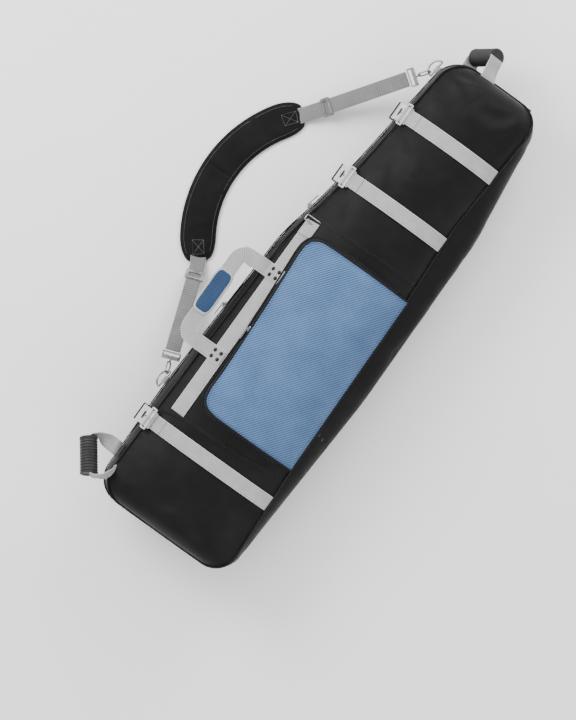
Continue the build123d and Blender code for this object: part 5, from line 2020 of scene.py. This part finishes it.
    def webbing(self, side: str) -> None:
        """A length of webbing from the swivel's eye to the pad, doubled back through the adjuster.

        Args:
            side: "upper" or "lower".
        """
        ring = np.asarray(self.upper_ring if side == "upper" else self.lower_ring)
        angle = self.pad_start + 3.5 if side == "upper" else self.pad_stop - 3.5
        end = self.arc(np.array([self.pad_start if side == "upper" else self.pad_stop]), None,
                       self.strap_height + 1.0)[0]
        inside = self.arc(np.array([angle]), None, self.strap_height - 1.0)[0]
        run = unit(end - ring)
        start = ring + run * self.first_reach
        path = rounded(np.vstack([start, start + run * 60, end - run * 12, inside]), 6.0, 30.0)
        across = unit(np.cross(run, UP))
        lean = np.cross(across, run)
        band = strap(path, lean, self.width, 1.7)
        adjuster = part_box(f"adjuster_{side}")
        middle = np.array([(adjuster[0][k] + adjuster[1][k]) / 2 / MM for k in range(3)])
        reach = (middle - ring) @ run + 34.0
        lower = np.linspace(start + run * 1.0, ring + run * reach, 40) - lean * 2.0
        band = band + strap(lower, lean, self.width - 0.8, 1.7)
        piece = band.build(f"strap_band_{side}")
        self.shop.mount(piece, "strap_webbing", "shoulder_strap", [f"strap_webbing_{side}"])
        rows = []
        for away in (12.0, 16.0):
            line = start + run * away + across * np.linspace(-16, 16, 12)[:, None] + lean * 0.95
            rows.append(stitches(line, lean, 3.2, 0.4))
        self.shop.mount(join(rows).build(f"strap_stitches_{side}"), "thread_grey", "shoulder_strap")

    def ring_tabs(self) -> None:
        """Webbing tabs that hold the two rings: each goes out, round the ring's bar and back."""
        swing = unit(np.asarray(self.upper_ring) - np.asarray(self.lower_ring))
        out = np.cross(UP, swing)
        turn = np.radians(np.linspace(90, -90, 11))[:, None]
        bands = []
        for ring in (np.asarray(self.lower_ring), np.asarray(self.upper_ring)):
            bend = ring + out * 3.5 * np.cos(turn) + UP * 3.5 * np.sin(turn)
            feet = [ring - out * 14.0 + UP * 3.5, ring - out * 14.0 - UP * 3.5]
            path = evenly(np.vstack([feet[0], bend, feet[1]]), 1.5)
            tangent = unit(np.gradient(path, axis=0))
            bands.append(carried(flat_outline(18.0, 1.8), path, np.tile(swing, (len(path), 1)),
                                 np.cross(tangent, swing)))
        self.shop.mount(join(bands).build("ring_tab_webbing"), "grab_webbing", "case_base", ["ring_tabs"])

    def build(self) -> None:
        """Build and mount the strap and its hardware."""
        self.pad()
        self.ring_tabs()
        for side in ("upper", "lower"):
            self.webbing(side)
            for part in ("ring", "swivel_eye", "adjuster", "hook", "gate"):
                self.shop.keep(f"{part}_{side}", "silver")


# ---------------------------------------------------------------- wheels and inside
@dataclass
class RunningGear:
    """Wheels, axles, housings and what lies inside the case."""

    shop: Workshop
    tie_down_places: tuple[float, ...] = (-300.0, 300.0)

    def build(self) -> None:
        """Dress the frame's hard pieces and build the tie-down straps."""
        for side in ("left", "right"):
            self.shop.keep(f"wheel_housing_{side}", "black_plastic")
            self.shop.keep(f"wheel_{side}_tyre", "tyre")
            self.shop.keep(f"wheel_{side}_hub", "hub")
            self.shop.keep(f"wheel_{side}_bearings", "steel")
        self.shop.keep("wheel_axles", "steel")
        self.shop.keep("base_board", "board")
        low, high = (np.array(corner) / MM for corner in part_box("tie_down_straps"))
        bands = []
        for place in self.tie_down_places:
            y = np.linspace(low[1] + 6, high[1] - 6, 60)
            wave = 0.8 * np.sin(y / 26.0)
            path = np.column_stack([np.full(60, place), y, high[2] - 0.4 + np.abs(wave)])
            bands.append(strap(path, UP, 38.0, 1.8))
        self.shop.mount(join(bands).build("tie_down_bands"), "webbing", "case_base", ["tie_down_straps"])


# ---------------------------------------------------------------- studio
@dataclass
class Studio:
    """Pale floor, soft lights and the camera."""

    middle: tuple[float, float] = (-0.156, 0.008)
    focus_height: float = 0.25
    distance: float = 9.0
    view_height: float = 1.728
    turn: float = -54.4

    def camera(self) -> None:
        """A long lens looking straight down at the front panel."""
        data = bpy.data.cameras.new("view")
        data.sensor_width = 36.0
        data.lens = 36.0 * self.distance / self.view_height
        data.clip_end = 60.0
        camera = bpy.data.objects.new("view", data)
        camera.location = (*self.middle, self.focus_height + self.distance)
        camera.rotation_euler = (0.0, 0.0, np.radians(self.turn))
        bpy.context.scene.collection.objects.link(camera)
        bpy.context.scene.camera = camera

    def floor(self) -> None:
        """A pale floor with a faint mottle, level with the lowest point."""
        low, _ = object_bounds()
        side = np.linspace(-6000, 6000, 9)
        x, y = np.meshgrid(side, side, indexing="ij")
        points = np.stack([x, y, np.full_like(x, low.z / MM - 0.2)], axis=-1).reshape(-1, 3)
        sheet = Surface(points, [grid_quads(9, 9)],
                        points[:, :2]).facing(lambda at: np.broadcast_to(UP, at.shape))
        piece = sheet.build("studio_floor")
        g = Graph("studio_floor")
        x, y, z = g.axes("Object")
        mottle = g.noise(g.point(x, y, z), 0.002, 2.0)
        g.surface(g.blend(mottle, (0.95, 0.95, 0.95), (0.99, 0.99, 0.99)), 0.9, None, 0.0,
                  Specular_IOR_Level=0.2)
        piece.data.materials.append(g.material)
        piece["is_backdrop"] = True

    def lamp(self, name: str, place: Sequence[float], aim: Sequence[float], size: float,
             power: float) -> None:
        """A square soft light.

        Args:
            name: Name of the light.
            place: Where it stands, in metres.
            aim: The point it looks at.
            size: Side of the square.
            power: Power in watts.
        """
        data = bpy.data.lights.new(name, "AREA")
        data.shape = "SQUARE"
        data.size = size
        data.energy = power
        light = bpy.data.objects.new(name, data)
        away = unit(np.asarray(place, float) - np.asarray(aim, float))
        side = unit(np.cross(np.array([0.3, 0.9, 0.1]), away))
        over = np.cross(away, side)
        matrix = np.eye(4)
        matrix[:3, 0], matrix[:3, 1], matrix[:3, 2], matrix[:3, 3] = side, over, away, place
        light.matrix_world = Matrix(matrix.tolist())
        bpy.context.scene.collection.objects.link(light)

    def sky(self) -> None:
        """An even pale surround."""
        world = bpy.data.worlds.new("surround")
        world.use_nodes = True
        back = world.node_tree.nodes["Background"]
        back.inputs["Color"].default_value = (1.0, 1.0, 1.0, 1.0)
        back.inputs["Strength"].default_value = 1.15
        bpy.context.scene.world = world

    def build(self) -> None:
        """Set up floor, lights, surround and camera."""
        self.floor()
        self.sky()
        self.lamp("key", (0.2, 2.6, 2.4), (0.0, 0.0, 0.2), 1.6, 110.0)
        self.lamp("rim", (2.4, 0.2, 1.8), (0.2, 0.0, 0.2), 1.2, 45.0)
        self.lamp("fill", (-1.6, -2.2, 2.4), (0.0, 0.0, 0.2), 2.2, 35.0)
        self.camera()


def corners(box: tuple) -> list[list[float]]:
    """A box's two corners as plain lists."""
    return [[float(value) for value in corner] for corner in box]


def main() -> None:
    """Build the case around the frame, piece by piece."""
    logging.basicConfig(level=logging.INFO, format="%(message)s")
    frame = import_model()
    form = CaseForm()
    shop = Workshop(frame)
    Shells(form, shop).build()
    MainZipper(form, shop).build()
    CompressionStraps(form, shop).build()
    SideStrip(form, shop).build()
    CarryHandle(form, shop).build()
    Pocket(form, shop).build()
    GrabHandle(
        shop, "top", "case_base", (722.0, 44.0, 135.0), (-0.25, 0.45, -0.857), (1.0, 0.0, 0.0),
        first_foot=((640.0, 4.0, 199.0), (662.0, 8.0, 195.0), (682.0, 12.0, 196.0)),
        last_foot=((678.5, 57.0, 62.0), (678.8, 58.0, 84.0)),
        first_across=(0.0, 1.0, 0.0), last_across=(0.0, 1.0, 0.1),
    ).build()
    GrabHandle(
        shop, "bottom", "front_cover", (-622.0, 264.0, 226.0), (0.77, 0.58, -0.28), (-0.55, 0.80, 0.05),
        first_foot=((-609.0, 158.0, 219.0), (-612.0, 180.0, 212.0), (-622.0, 192.0, 212.0)),
        last_foot=((-570.0, 213.5, 190.0), (-568.0, 222.0, 202.0)),
        first_across=(1.0, 0.0, 0.0), last_across=(1.0, 0.2, 0.0),
    ).build()
    ShoulderStrap(shop, form).build()
    RunningGear(shop).build()
    Studio().build()
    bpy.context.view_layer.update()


if __name__ == "__main__":
    main()
